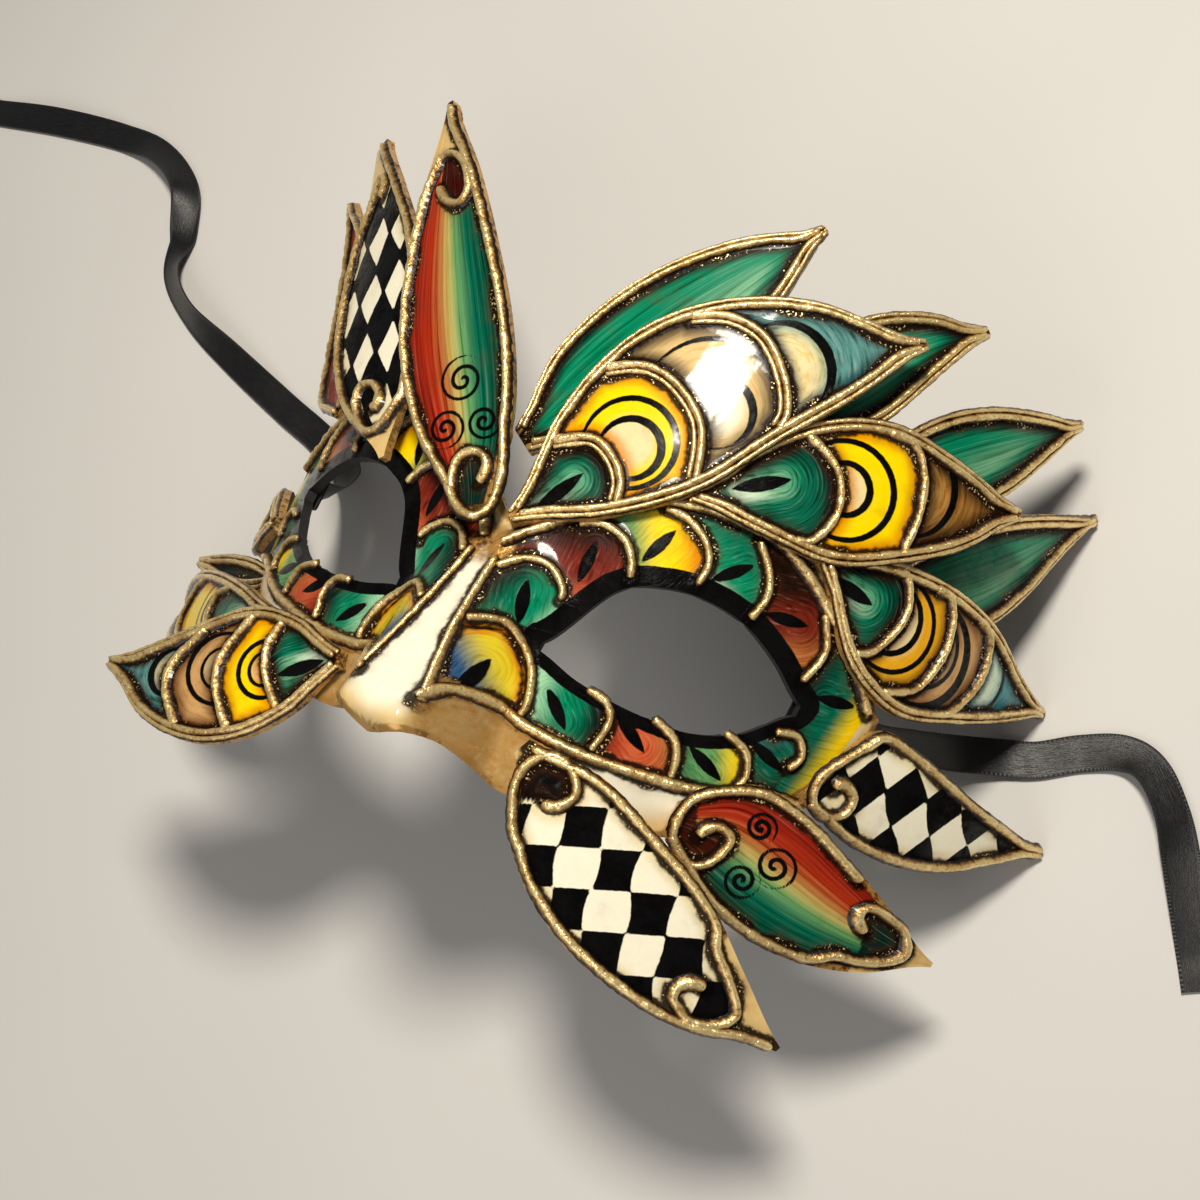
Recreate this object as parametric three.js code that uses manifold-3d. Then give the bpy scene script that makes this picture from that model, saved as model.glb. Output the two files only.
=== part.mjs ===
// A carnival bird mask lying face up: a face shell, painted leaves, raised gold cords and two tie ribbons.
// Sizes are millimetres. +X is the viewer's right, +Y the forehead and +Z out of the face, up from the table.
import * as THREE from "three";
import Module from "manifold-3d";

const wasm = await Module();
wasm.setup();

// Head form: every sheet is drawn flat, as arc across the face and rise up it, then bent over this form
const HEAD_RADIUS = 80;
const FACE_BULGE_RADIUS = 400;
const AXIS_HEIGHT = -12;

// Sheet and cord sizes
const SHELL_WALL = 2;
const LEAF_WALL = 1.8;
const GAP = 0.3;
const LEAF_CORD_GAP = 0.4;
const NOSE_CLEARANCE = 0.75;
const CORD_WIDTH = 2.6;
const CORD_TOP_WIDTH = 1.5;
const CORD_HEIGHT = 2;
const BAR_INSET = 0.15;

// Layers: heights of a leaf's underside over the shell's front
const FRONT_LAYER = GAP;
const TOP_LAYER = CORD_HEIGHT + NOSE_CLEARANCE + 2 * GAP;
const REAR_LAYER = FRONT_LAYER - LEAF_WALL - LEAF_CORD_GAP - CORD_HEIGHT - GAP;
const MIDDLE_LAYER = REAR_LAYER + 0.9;

// Nose: begins under the brow and stands out most at its tip
const NOSE_TOP = 8;
const NOSE_TIP = -36;
const NOSE_STAND = 17;
const NOSE_CURVE = 1.2;
const NOSE_HALF_WIDTH = 3;
const NOSE_HALF_GROWTH = 4;
const NOSE_SIDE = 9;
const NOSE_UNDER = 7;
const NOSE_UNDER_FALL = 0.75;
const NOSE_FOOT_ARC = 18;
const SLOPE_STEP = 0.5;

// Shell outline: rise of the upper and lower edge at even steps of arc from the nose to the temple
const SHELL_HALF_ARC = 76;
const SHELL_UPPER = [6, 14, 21.5, 26, 27.5, 26, 21, 13, 3];
const SHELL_LOWER = [-40, -38, -36.5, -36, -35, -32.5, -27, -17, -4];
const SHELL_COLUMNS = 36;
const SHELL_ROWS = 8;
const NOSE_CROWDING = 0.45;

// Eye hole: rise of its upper and lower edge at even steps of arc from the nose to the temple
const EYE_INNER_ARC = 15.5;
const EYE_OUTER_ARC = 60.5;
const EYE_UPPER = [-11.5, 1.5, 5.8, 7, 6.2, 3, -1.5];
const EYE_LOWER = [-13, -14.8, -15.5, -15.3, -14.2, -10.5, -3.5];
const EYE_COLUMNS = 12;
const EYE_CUT_FRONT = 8;
const EYE_CUT_REAR = -10;

// Leaf shape: the tip is blunt, the lift grows faster towards the tip, and ON_TABLE tips reach the table
const BLUNT_HALF_WIDTH = 1.2;
const LIFT_POWER = 1.6;
const ON_TABLE = "table";
const TABLE_TRIM = 0.5;
const CORD_TRIM = 0.4;
const LEAF_STEPS = 10;
const LEAF_COLUMNS = 2;
const RIM_BASE_LENGTH = 6;
const RIM_TIP_LENGTH = 7;
const RIM_LEAST_OPENING = 0.3;

// Leaves, one a row. Columns: name, base arc, base rise, tip arc, tip rise, lift of the tip,
// left bulge near the base and near the tip, right bulge near the base and near the tip, layer, paint
const LEAVES = [
  ["wing_upper", 1, 5.5, 52, 64, 5, 28, 29, 7, 3, FRONT_LAYER, "green"],
  ["wing_middle", 27, 22, 81, 47.5, 5, 12, 19, 4, 14, FRONT_LAYER, "green"],
  ["wing_lower", 52, 24, ON_TABLE, 20.5, 2.5, 12, 9, 23, 13, FRONT_LAYER, "green"],
  ["feather_first", -6, 19, 27.5, 76.5, 4, 20, 12, 18, 9, REAR_LAYER, "emerald"],
  ["feather_second", 37.5, 40, 65, 74.5, 3, 20, 14, 8, 3, MIDDLE_LAYER, "emerald"],
  ["feather_third", 51.5, 32.5, 97, 72, 3, 18, 8, 12, 4, MIDDLE_LAYER, "emerald"],
  ["feather_fourth", 62, 22, ON_TABLE, 58.5, 4.8, 8, 6, 22, 3, REAR_LAYER, "emerald"],
  ["cheek_checker_leaf", 20.5, -29, 78, -55, 12, 9, 5, 25, 18, FRONT_LAYER, "cream"],
  ["cheek_shaded_leaf", 48, -31.5, 96.5, -31, 14, 21, 7, 11, 13, FRONT_LAYER, "cream"],
  ["temple_checker_leaf", 67.5, -15.5, ON_TABLE, -4, 12.5, 31, -3, 12, 9, FRONT_LAYER, "cream"],
  ["crest_shaded_leaf", -4, 4.5, -45.5, 75, 17, 22, 11, 15, 7, TOP_LAYER, "cream"],
  ["crest_checker_leaf", -27, 7.5, -70, 69, 18, 30, 1, 4, 15, TOP_LAYER, "cream"],
  ["crest_outer_leaf", -60, 14, -91, 60.5, 22, 32, -3, 8, 10, FRONT_LAYER, "red"],
  ["low_wing_front", -18, -29.5, -63.5, -48.5, 19, 18, 23, 14, 7, FRONT_LAYER, "green"],
  ["low_wing_middle", -44, -27, ON_TABLE, -33, 20, 14, 14, 6, 8, FRONT_LAYER, "green"],
  ["low_wing_rear", -66, -10, ON_TABLE, -8, 4, 8, 8, 9, 9, FRONT_LAYER, "green"],
  ["low_feather", -70, -20, -98, -22.5, 18, 3, 3, 3, 3, REAR_LAYER, "emerald"],
];

// Bars of raised cord across the wing leaves.
// Columns: part of the leaf's length at the left edge, at the middle and at the right edge
const BARS = {
  wing_upper: [[0.13, 0.25, 0.25], [0.32, 0.48, 0.38], [0.52, 0.7, 0.61]],
  wing_middle: [[0.28, 0.44, 0.29], [0.56, 0.7, 0.58]],
  wing_lower: [[0.2, 0.31, 0.2], [0.33, 0.48, 0.31], [0.55, 0.65, 0.6]],
  low_wing_front: [[0.3, 0.35, 0.29], [0.47, 0.54, 0.44], [0.7, 0.75, 0.61]],
  low_wing_middle: [[0.26, 0.35, 0.26], [0.5, 0.6, 0.5]],
  low_wing_rear: [[0.3, 0.42, 0.3], [0.58, 0.68, 0.58]],
};
const BAR_STEPS = 5;

// Curls of raised cord inside a leaf. Columns: centre across (left is plus), centre along as a part of the
// length, outer radius, inner radius, first angle and last angle in degrees, 0 to the left and 90 to the tip
const CURLS = {
  cheek_checker_leaf: [[0, 0.115, 5.2, 2.6, -165, 105], [-6.5, 0.78, 3.6, 1.8, 200, -40]],
  cheek_shaded_leaf: [[2, 0.17, 5, 2.4, 205, -80], [2.5, 0.77, 3.4, 1.8, -150, 90]],
  temple_checker_leaf: [[0.8, 0.15, 5, 2.4, 205, -80]],
  crest_shaded_leaf: [[2, 0.1, 5, 2.4, 205, -80], [-0.5, 0.79, 3.4, 1.6, -150, 90]],
  crest_checker_leaf: [[6, 0.17, 4.6, 2.2, 205, -80]],
};
const CURL_STEPS = 8;

// Cords on the right half of the shell as arc and rise; the left half is their mirror image
const BROW_LINE = [
  [3.5, -1], [10, 7.2], [20, 14.6], [31, 18.6],
  [42, 18.9], [54, 14], [64, 6.8], [71, 0.8],
];
const CHEEK_LINE = [
  [4.6, -4], [6.2, -14], [8, -24], [11.5, -27.2], [14.5, -24.6],
  [22, -24.2], [32, -23.9], [44, -22], [54, -19.2], [61, -16.4],
];
const LINE_STEPS = 24;

// Short cords between the scales round the eye: arc and rise of the start, the middle and the end
const BROW_SCALES = [
  [[9, 6.2], [14.5, 0.5], [14.6, -4.5]],
  [[14.6, 10.9], [23, 11], [24.6, 5.2]],
  [[26.5, 17.4], [35.6, 15.5], [35.4, 8.9]],
  [[41, 19], [47.4, 14.5], [46, 8.2]],
  [[55.5, 13.1], [60.8, 8.2], [58.8, 2.6]],
];
const CHEEK_SCALES = [
  [[30.2, -24], [31.8, -18.5], [26.8, -17]],
  [[44.8, -21.9], [45.2, -17.2], [39.6, -16.6]],
  [[55.8, -18.6], [56.8, -13.4], [52, -12.4]],
];
const SCALE_STEPS = 4;
const SCALE_WIDTH = 2;

// Tie ribbons, from the temple to the cut end. Columns: x, y and height over the table
const RIBBON_WIDTH = 8;
const RIBBON_THICKNESS = 0.6;
const RIBBON_STEPS = 36;
const RIGHT_RIBBON = [
  [52.6, -1, 44.3], [58.9, -1, 37.7], [63.5, 0, 28], [67.5, 3, 16], [73, 6.5, 6],
  [79.5, 9.5, 2], [86, 12, 0.8], [93, 16.5, 0.6], [100, 19.5, 0.6], [106, 18.5, 0.6],
  [112, 13, 0.6], [117, 5.5, 0.6], [126, -9, 0.6], [129, -14, 0.6],
];
const LEFT_RIBBON = [
  [-52.6, -1, 44.3], [-58.9, -1, 37.7], [-63.5, 0.5, 28], [-68.5, 4.5, 16], [-75, 9, 6],
  [-82.5, 12.5, 2], [-91, 15.5, 0.8], [-103, 18.7, 0.6], [-122, 24.5, 0.6], [-138, 30, 0.6],
  [-149, 38, 0.6], [-153, 49, 0.6], [-158, 59, 0.6], [-170, 65, 0.6], [-184, 66, 0.6],
  [-206, 64, 0.6], [-227, 61, 0.6], [-235, 60, 0.6],
];

// Materials by name: colour, roughness and metalness
const PAINTS = {
  shell: [0xd9cfb4, 0.42, 0],
  gold: [0xc8a870, 0.38, 0.75],
  green: [0x4f9a6c, 0.36, 0],
  emerald: [0x2f7a52, 0.36, 0],
  cream: [0xe3d7b4, 0.36, 0],
  red: [0xa8402a, 0.36, 0],
  ribbon: [0x131216, 0.45, 0],
};

// How far the nose stands out of the head form
function noseHeight(arc, rise) {
  const down = THREE.MathUtils.clamp((NOSE_TOP - rise) / (NOSE_TOP - NOSE_TIP), 0, 1);
  const half = NOSE_HALF_WIDTH + NOSE_HALF_GROWTH * down;
  const across = 1 - THREE.MathUtils.smoothstep(Math.abs(arc), half, half + NOSE_SIDE);
  const under = 1 - NOSE_UNDER_FALL * THREE.MathUtils.smoothstep(NOSE_TIP - rise, 0, NOSE_UNDER);
  return NOSE_STAND * down ** NOSE_CURVE * across * under;
}

// How much thicker a wall is straight out of the head than square to its slope
function steepness(arc, rise) {
  const across = (noseHeight(arc + SLOPE_STEP, rise) - noseHeight(arc - SLOPE_STEP, rise)) / (2 * SLOPE_STEP);
  const along = (noseHeight(arc, rise + SLOPE_STEP) - noseHeight(arc, rise - SLOPE_STEP)) / (2 * SLOPE_STEP);
  return Math.hypot(1, across, along);
}

// A point of the flat drawing bent over the head form, raised by a height
function onHead(arc, rise, height) {
  const radius = HEAD_RADIUS - (rise * rise) / (2 * FACE_BULGE_RADIUS) + noseHeight(arc, rise) + height;
  const turn = arc / HEAD_RADIUS;
  return new THREE.Vector3(radius * Math.sin(turn), rise, AXIS_HEIGHT + radius * Math.cos(turn));
}

// A closed solid from points and triangles, turned outward
function closedSolid(points, faces) {
  const places = new Float32Array(points.flatMap((point) => [point.x, point.y, point.z]));
  const build = (corners) => new wasm.Manifold(
    new wasm.Mesh({ numProp: 3, vertProperties: places, triVerts: new Uint32Array(corners) }),
  );
  const solid = build(faces);
  if (solid.volume() > 0) {
    return solid;
  }
  return build(faces.toReversed());
}

// A solid through rows of points; each row runs along its front and returns along its back
function loft(rows, closed = false) {
  const count = rows[0].length;
  const faces = [];
  const quad = (a, b, c, d) => faces.push(a, b, c, a, c, d);
  const spans = closed ? rows.length : rows.length - 1;
  for (let row = 0; row < spans; row += 1) {
    const here = row * count;
    const next = ((row + 1) % rows.length) * count;
    for (let k = 0; k < count; k += 1) {
      const after = (k + 1) % count;
      quad(here + k, next + k, next + after, here + after);
    }
  }
  if (!closed) {
    const end = (rows.length - 1) * count;
    for (let k = 0; k < count / 2 - 1; k += 1) {
      quad(k, k + 1, count - 2 - k, count - 1 - k);
      quad(end + k, end + count - 1 - k, end + count - 2 - k, end + k + 1);
    }
  }
  return closedSolid(rows.flat(), faces);
}

// Whole numbers from 0 to a count
function upTo(count) {
  return Array.from({ length: count + 1 }, (unused, k) => k);
}

// A smooth edge through rises at even steps; part runs from 0 to 1
function edgeRise(rises, part) {
  const points = rises.map((rise, k) => new THREE.Vector2(k / (rises.length - 1), rise));
  return new THREE.SplineCurve(points).getPoint(part).y;
}

// The face shell with its nose and two eye holes
function shellSolid() {
  const columns = upTo(SHELL_COLUMNS).map((k) => {
    const even = (2 * k) / SHELL_COLUMNS - 1;
    const crowded = NOSE_CROWDING * even + (1 - NOSE_CROWDING) * even * Math.abs(even);
    const arc = crowded * SHELL_HALF_ARC;
    const upper = edgeRise(SHELL_UPPER, Math.abs(crowded));
    const lower = edgeRise(SHELL_LOWER, Math.abs(crowded));
    const rises = upTo(SHELL_ROWS).map((j) => lower + ((upper - lower) * j) / SHELL_ROWS);
    const front = rises.map((rise) => onHead(arc, rise, 0));
    const back = rises.map((rise) => onHead(arc, rise, -SHELL_WALL * steepness(arc, rise)));
    return front.concat(back.reverse());
  });
  return loft(columns).subtract(eyeCut(1)).subtract(eyeCut(-1));
}

// The solid that cuts one eye hole; side is 1 on the right and -1 on the left
function eyeCut(side) {
  const rows = upTo(EYE_COLUMNS).map((k) => {
    const part = k / EYE_COLUMNS;
    const arc = side * THREE.MathUtils.lerp(EYE_INNER_ARC, EYE_OUTER_ARC, part);
    const lower = edgeRise(EYE_LOWER, part);
    const upper = edgeRise(EYE_UPPER, part);
    return [
      onHead(arc, lower, EYE_CUT_FRONT),
      onHead(arc, upper, EYE_CUT_FRONT),
      onHead(arc, upper, EYE_CUT_REAR),
      onHead(arc, lower, EYE_CUT_REAR),
    ];
  });
  return loft(rows);
}

// A raised cord along a flat line; place bends a flat point and a height into space
function cordSolid(line, width, place, low, high) {
  const rows = line.map((point, k) => {
    const before = line[Math.max(k - 1, 0)];
    const after = line[Math.min(k + 1, line.length - 1)];
    const square = new THREE.Vector2(before.y - after.y, after.x - before.x).normalize();
    const foot = square.clone().multiplyScalar(width / 2);
    const crown = square.clone().multiplyScalar((width / 2) * (CORD_TOP_WIDTH / CORD_WIDTH));
    return [
      place(point.clone().add(crown), high),
      place(point.clone().sub(crown), high),
      place(point.clone().sub(foot), low),
      place(point.clone().add(foot), low),
    ];
  });
  return loft(rows);
}

// One side's line of cord on the shell with the short cords that branch from it
function shellCords(line, scales, side) {
  const place = (point, height) => {
    const lean = steepness(point.x, point.y);
    const clear = point.x < NOSE_FOOT_ARC ? NOSE_CLEARANCE * lean : 0;
    return onHead(side * point.x, point.y, GAP + clear + height);
  };
  const through = (points, steps) => {
    const flat = points.map((point) => new THREE.Vector2(...point));
    return new THREE.SplineCurve(flat).getPoints(steps);
  };
  const crown = CORD_HEIGHT - BAR_INSET;
  const main = cordSolid(through(line, LINE_STEPS), CORD_WIDTH, place, 0, CORD_HEIGHT);
  return scales.reduce((sum, scale) => {
    const branch = cordSolid(through(scale, SCALE_STEPS), SCALE_WIDTH, place, BAR_INSET, crown);
    return sum.add(branch);
  }, main);
}

// A leaf's drawing: its two edges and the bend from the flat drawing into space
function leafDrawing(row) {
  const [name, baseArc, baseRise, tipGiven, tipRise, lift, ...shape] = row;
  const [leftNear, leftFar, rightNear, rightFar, layer, paint] = shape;
  const formRadius = HEAD_RADIUS - (tipRise * tipRise) / (2 * FACE_BULGE_RADIUS);
  const tipRadius = formRadius + layer + lift + LEAF_WALL / 2;
  const tableArc = Math.sign(baseArc) * HEAD_RADIUS * Math.acos((-TABLE_TRIM - AXIS_HEIGHT) / tipRadius);
  const tipArc = tipGiven === ON_TABLE ? tableArc : tipGiven;
  const run = new THREE.Vector2(tipArc - baseArc, tipRise - baseRise);
  const length = run.length();
  const bulge = (near, far, part) => 3 * part * (1 - part) * (near * (1 - part) + far * part);
  return {
    name,
    paint,
    length,
    onTable: tipGiven === ON_TABLE,
    left: (part) => BLUNT_HALF_WIDTH + bulge(leftNear, leftFar, part),
    right: (part) => -BLUNT_HALF_WIDTH - bulge(rightNear, rightFar, part),
    place: (across, part, height) => {
      const arc = baseArc + part * run.x - (across * run.y) / length;
      const rise = baseRise + part * run.y + (across * run.x) / length;
      return onHead(arc, rise, layer + lift * Math.max(part, 0) ** LIFT_POWER + height);
    },
  };
}

// What lies under the table's surface, raised by a trim
function underTable(trim) {
  const far = 2 * HEAD_RADIUS;
  const row = (x) => [
    new THREE.Vector3(x, -far, trim),
    new THREE.Vector3(x, far, trim),
    new THREE.Vector3(x, far, -far),
    new THREE.Vector3(x, -far, -far),
  ];
  return loft([row(-far), row(far)]);
}

// The bent sheet of a leaf
function leafPanel(leaf) {
  const rows = upTo(LEAF_STEPS).map((k) => {
    const part = k / LEAF_STEPS;
    const left = leaf.left(part);
    const right = leaf.right(part);
    const across = upTo(LEAF_COLUMNS).map((j) => THREE.MathUtils.lerp(left, right, j / LEAF_COLUMNS));
    const front = across.map((place) => leaf.place(place, part, LEAF_WALL));
    const back = across.map((place) => leaf.place(place, part, 0));
    return front.concat(back.reverse());
  });
  const sheet = loft(rows);
  return leaf.onTable ? sheet.subtract(underTable(0)) : sheet;
}

// The raised cord round a leaf with its bars and curls
function leafCords(leaf) {
  const low = LEAF_WALL + LEAF_CORD_GAP;
  const high = low + CORD_HEIGHT;
  const crownInset = (CORD_WIDTH - CORD_TOP_WIDTH) / 2;
  const firstPart = RIM_BASE_LENGTH / leaf.length;
  const lastPart = 1 - RIM_TIP_LENGTH / leaf.length;
  const rimRow = (part, edge, side) => {
    const innerPart = THREE.MathUtils.lerp(firstPart, lastPart, part);
    const middle = (leaf.left(innerPart) + leaf.right(innerPart)) / 2;
    const inset = side * edge(innerPart) - CORD_WIDTH;
    const inner = side * Math.max(inset, side * middle + RIM_LEAST_OPENING);
    const outer = edge(part);
    return [
      leaf.place(outer - side * crownInset, part, high),
      leaf.place(inner + side * crownInset, innerPart, high),
      leaf.place(inner, innerPart, low),
      leaf.place(outer, part, low),
    ];
  };
  const parts = upTo(LEAF_STEPS).map((k) => k / LEAF_STEPS);
  const leftRows = parts.map((part) => rimRow(part, leaf.left, 1));
  const rightRows = parts.toReversed().map((part) => rimRow(part, leaf.right, -1));
  const rim = loft(leftRows.concat(rightRows), true);
  const flatPlace = (point, height) => leaf.place(point.x, point.y / leaf.length, height);
  const strip = (line) => cordSolid(line, CORD_WIDTH, flatPlace, low + BAR_INSET, high - BAR_INSET);
  const bars = (BARS[leaf.name] ?? []).map((bar) => strip(barLine(leaf, bar)));
  const curls = (CURLS[leaf.name] ?? []).map((curl) => strip(curlLine(leaf, curl)));
  const cords = bars.concat(curls).reduce((sum, cord) => sum.add(cord), rim);
  return leaf.onTable ? cords.subtract(underTable(CORD_TRIM)) : cords;
}

// The flat line of a bar that bows towards the tip
function barLine(leaf, [atLeft, atMiddle, atRight]) {
  return upTo(BAR_STEPS).map((k) => {
    const over = k / BAR_STEPS;
    const bow = 4 * over * (1 - over) * (atMiddle - (atLeft + atRight) / 2);
    const part = THREE.MathUtils.lerp(atLeft, atRight, over) + bow;
    const left = leaf.left(part) - CORD_WIDTH / 2;
    const right = leaf.right(part) + CORD_WIDTH / 2;
    return new THREE.Vector2(THREE.MathUtils.lerp(left, right, over), part * leaf.length);
  });
}

// The flat line of a curl that winds inward from the leaf's edge
function curlLine(leaf, [across, along, outer, inner, first, last]) {
  return upTo(CURL_STEPS).map((k) => {
    const part = k / CURL_STEPS;
    const angle = THREE.MathUtils.degToRad(THREE.MathUtils.lerp(first, last, part));
    const radius = THREE.MathUtils.lerp(outer, inner, part);
    const centre = new THREE.Vector2(across, along * leaf.length);
    return new THREE.Vector2(radius, 0).rotateAround(new THREE.Vector2(), angle).add(centre);
  });
}

// A flat ribbon along its table of places
function ribbonSolid(table) {
  const curve = new THREE.CatmullRomCurve3(table.map((place) => new THREE.Vector3(...place)));
  const rows = upTo(RIBBON_STEPS).map((k) => {
    const centre = curve.getPoint(k / RIBBON_STEPS);
    const along = curve.getTangent(k / RIBBON_STEPS);
    const across = new THREE.Vector3(along.y, -along.x, 0).setLength(RIBBON_WIDTH / 2);
    const out = new THREE.Vector3().crossVectors(across, along).setLength(RIBBON_THICKNESS / 2);
    const corner = (a, b) => centre.clone().addScaledVector(across, a).addScaledVector(out, b);
    return [corner(-1, 1), corner(1, 1), corner(1, -1), corner(-1, -1)];
  });
  return loft(rows);
}

// A named mesh of a solid
function meshOf(name, solid, paint) {
  const made = solid.getMesh();
  const geometry = new THREE.BufferGeometry();
  geometry.setAttribute("position", new THREE.Float32BufferAttribute(made.vertProperties, made.numProp));
  geometry.setIndex(new THREE.Uint32BufferAttribute(made.triVerts, 1));
  geometry.computeVertexNormals();
  const [color, roughness, metalness] = PAINTS[paint];
  const mesh = new THREE.Mesh(geometry, new THREE.MeshStandardMaterial({ color, roughness, metalness }));
  mesh.name = name;
  return mesh;
}

// Assembly
const mask = new THREE.Group();
mask.name = "bird_mask";
mask.add(meshOf("face_shell", shellSolid(), "shell"));
for (const [hand, side] of [["right", 1], ["left", -1]]) {
  mask.add(meshOf(`brow_cord_${hand}`, shellCords(BROW_LINE, BROW_SCALES, side), "gold"));
  mask.add(meshOf(`cheek_cord_${hand}`, shellCords(CHEEK_LINE, CHEEK_SCALES, side), "gold"));
}
for (const leaf of LEAVES.map(leafDrawing)) {
  mask.add(meshOf(leaf.name, leafPanel(leaf), leaf.paint));
  mask.add(meshOf(`${leaf.name}_cord`, leafCords(leaf), "gold"));
}

// The origin is under the middle of the mask, ribbons left out, on the table
const box = new THREE.Box3().setFromObject(mask);
const middle = box.getCenter(new THREE.Vector3());
mask.add(meshOf("ribbon_right", ribbonSolid(RIGHT_RIBBON), "ribbon"));
mask.add(meshOf("ribbon_left", ribbonSolid(LEFT_RIBBON), "ribbon"));
for (const mesh of mask.children) {
  mesh.geometry.translate(-middle.x, -middle.y, -box.min.z);
}

export default mask;
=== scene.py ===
import math

import bpy
import numpy as np
from mathutils import Matrix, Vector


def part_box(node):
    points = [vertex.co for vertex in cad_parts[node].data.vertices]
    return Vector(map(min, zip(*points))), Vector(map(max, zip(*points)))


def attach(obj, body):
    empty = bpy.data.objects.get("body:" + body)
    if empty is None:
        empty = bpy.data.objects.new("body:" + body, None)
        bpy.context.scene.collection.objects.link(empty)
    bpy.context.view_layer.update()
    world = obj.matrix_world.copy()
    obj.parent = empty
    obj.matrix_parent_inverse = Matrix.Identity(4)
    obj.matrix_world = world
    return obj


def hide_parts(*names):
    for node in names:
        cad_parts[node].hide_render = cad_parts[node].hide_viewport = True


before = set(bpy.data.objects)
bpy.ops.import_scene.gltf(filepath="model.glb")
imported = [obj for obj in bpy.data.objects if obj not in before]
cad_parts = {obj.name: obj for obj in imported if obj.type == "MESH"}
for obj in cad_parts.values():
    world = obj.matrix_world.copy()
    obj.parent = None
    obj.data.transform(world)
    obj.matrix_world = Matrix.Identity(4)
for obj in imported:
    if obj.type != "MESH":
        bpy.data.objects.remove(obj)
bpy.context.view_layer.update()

# The drawing is in millimetres and the scene in metres
MM = 0.001

# Head form: every sheet is drawn flat, as arc across the face and rise up it, then bent over this form
HEAD_RADIUS = 80
FACE_BULGE_RADIUS = 400
AXIS_HEIGHT = -12

# Where the drawing's origin lies in the row frame, read off the shell's box
SHELL_LOW, SHELL_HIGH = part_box("face_shell")
SHELL_LOWEST_RISE = -40
SHIFT_X = (SHELL_LOW.x + SHELL_HIGH.x) / 2 / MM
SHIFT_Y = SHELL_LOW.y / MM - SHELL_LOWEST_RISE

# Sheet sizes
SHELL_WALL = 2
LEAF_WALL = 1.8
SHEET_STEP = 0.5
FINE_SHEET_STEP = 0.38
POOL_HEIGHT = 0.12
POOL_REACH = 0.7

# Room that the layers leave for a cord and for the gaps round it
CORD_ROOM = 2
GAP = 0.3
LEAF_CORD_GAP = 0.4
NOSE_CLEARANCE = 0.75
MIDDLE_RISE = 0.9

# Raised cords: widths, height as a share of the width, the spread of the foot, and the lumps of a piped line
MAIN_WIDTH = 1.7
BROAD_RIM_WIDTH = 1.5
RIM_WIDTH = 1.25
LINE_WIDTH = 1.3
NOSE_LINE_WIDTH = 1.2
BEAD_WIDTH = 0.85
BULB = 0.35
BULB_LENGTH = 2
RELIEF = 0.85
CORD_FOOT = 0.5
CORD_SINK = 0.4
CORD_SIDES = 12
CORD_STEP = 0.5
CORD_LUMP = 0.07
LUMP_LENGTH = 2.2
CORD_GRAIN = 0.1
GRAIN_LENGTH = 0.7

# Layers: heights of a leaf's underside over the shell's front
FRONT_LAYER = GAP
TOP_LAYER = CORD_ROOM + NOSE_CLEARANCE + 2 * GAP
REAR_LAYER = FRONT_LAYER - LEAF_WALL - LEAF_CORD_GAP - CORD_ROOM - GAP
MIDDLE_LAYER = REAR_LAYER + MIDDLE_RISE

# Nose: begins under the brow and stands out most at its tip, which is rounded under
NOSE_TOP = 8
NOSE_TIP = -36
NOSE_STAND = 17
NOSE_CURVE = 1.2
NOSE_HALF_WIDTH = 1
NOSE_HALF_GROWTH = 3
NOSE_SIDE = 13
NOSE_UNDER_START = -33
NOSE_UNDER = 9
NOSE_UNDER_FALL = 0.45

# Shell outline and eye hole: rise of the upper and lower edge at even steps of arc, nose to temple
SHELL_HALF_ARC = 76
SHELL_UPPER = [6, 14, 21.5, 26, 27.5, 26, 21, 13, 3]
SHELL_LOWER = [-38, -34.6, -37.2, -36.4, -35, -32.5, -27, -17, -4]
EYE_INNER_ARC = 15.5
EYE_OUTER_ARC = 60.5
EYE_UPPER = [-11.5, 1.5, 5.8, 7, 6.2, 3, -1.5]
EYE_LOWER = [-13, -14.8, -15.5, -15.3, -14.2, -10.5, -3.5]
EYE_CENTRE = (38, -4)
EYE_RIM_WIDTH = 3.6
LOWER_RIM_WIDTH = 2.2
SHELL_TURNS = 470
SHELL_RINGS = 50
MIRROR_SNAP = 0.01
MIRROR_MERGE = 0.02

# Leaf shape: the lift grows faster towards the tip, and ON_FLOOR tips reach the floor
LIFT_POWER = 1.6
ON_FLOOR = "floor"
FLOOR_TRIM = 0.5

# Rim cords: their inset from the leaf's edge, and the parts of the length at which they begin and end
BROAD_RIM_INSET = 1.15
RIM_INSET = 1.6
RIM_OPENING = 0.45
BEAD_INSET = 0.4
BAR_BEAD_GAP = 1.25
BEADED = ("wing", "feather")
RIM_FIRST = 0.02
RIM_LAST = 0.985
RIM_STEP = 4
LEAST_RIM_POINTS = 4

# How finely lines are drawn: points for each point of a table, points in all, and steps along a line
EDGE_SAMPLES = 40
LEAF_SAMPLES = 20
SHELL_SAMPLES = 30
ROUTE_SAMPLES = 40
WIDTH_SAMPLES = 50
EYE_POINTS = 120
HALF_POINTS = 160
MAIN_LINE_POINTS = 200
NOSE_POINTS = 60
SCALE_POINTS = 40
OUTLINE_STEP = 0.4
REACH_STEP = 0.05
LEAST_POINTS = 3
LEAST_KNOTS = 4
SPARE_KNOTS = 3
MERGE_DISTANCE = 0.001

# Angles in degrees past which faces meet in a crease
SHEET_CREASE = 50
CORD_CREASE = 80

# Seeds of the lumps, so that the cords of one piece differ
SHELL_SEED = 300
LEAF_SEED = 1000
LEAF_SEED_STEP = 100
CORD_SEED_STEP = 10

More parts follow.
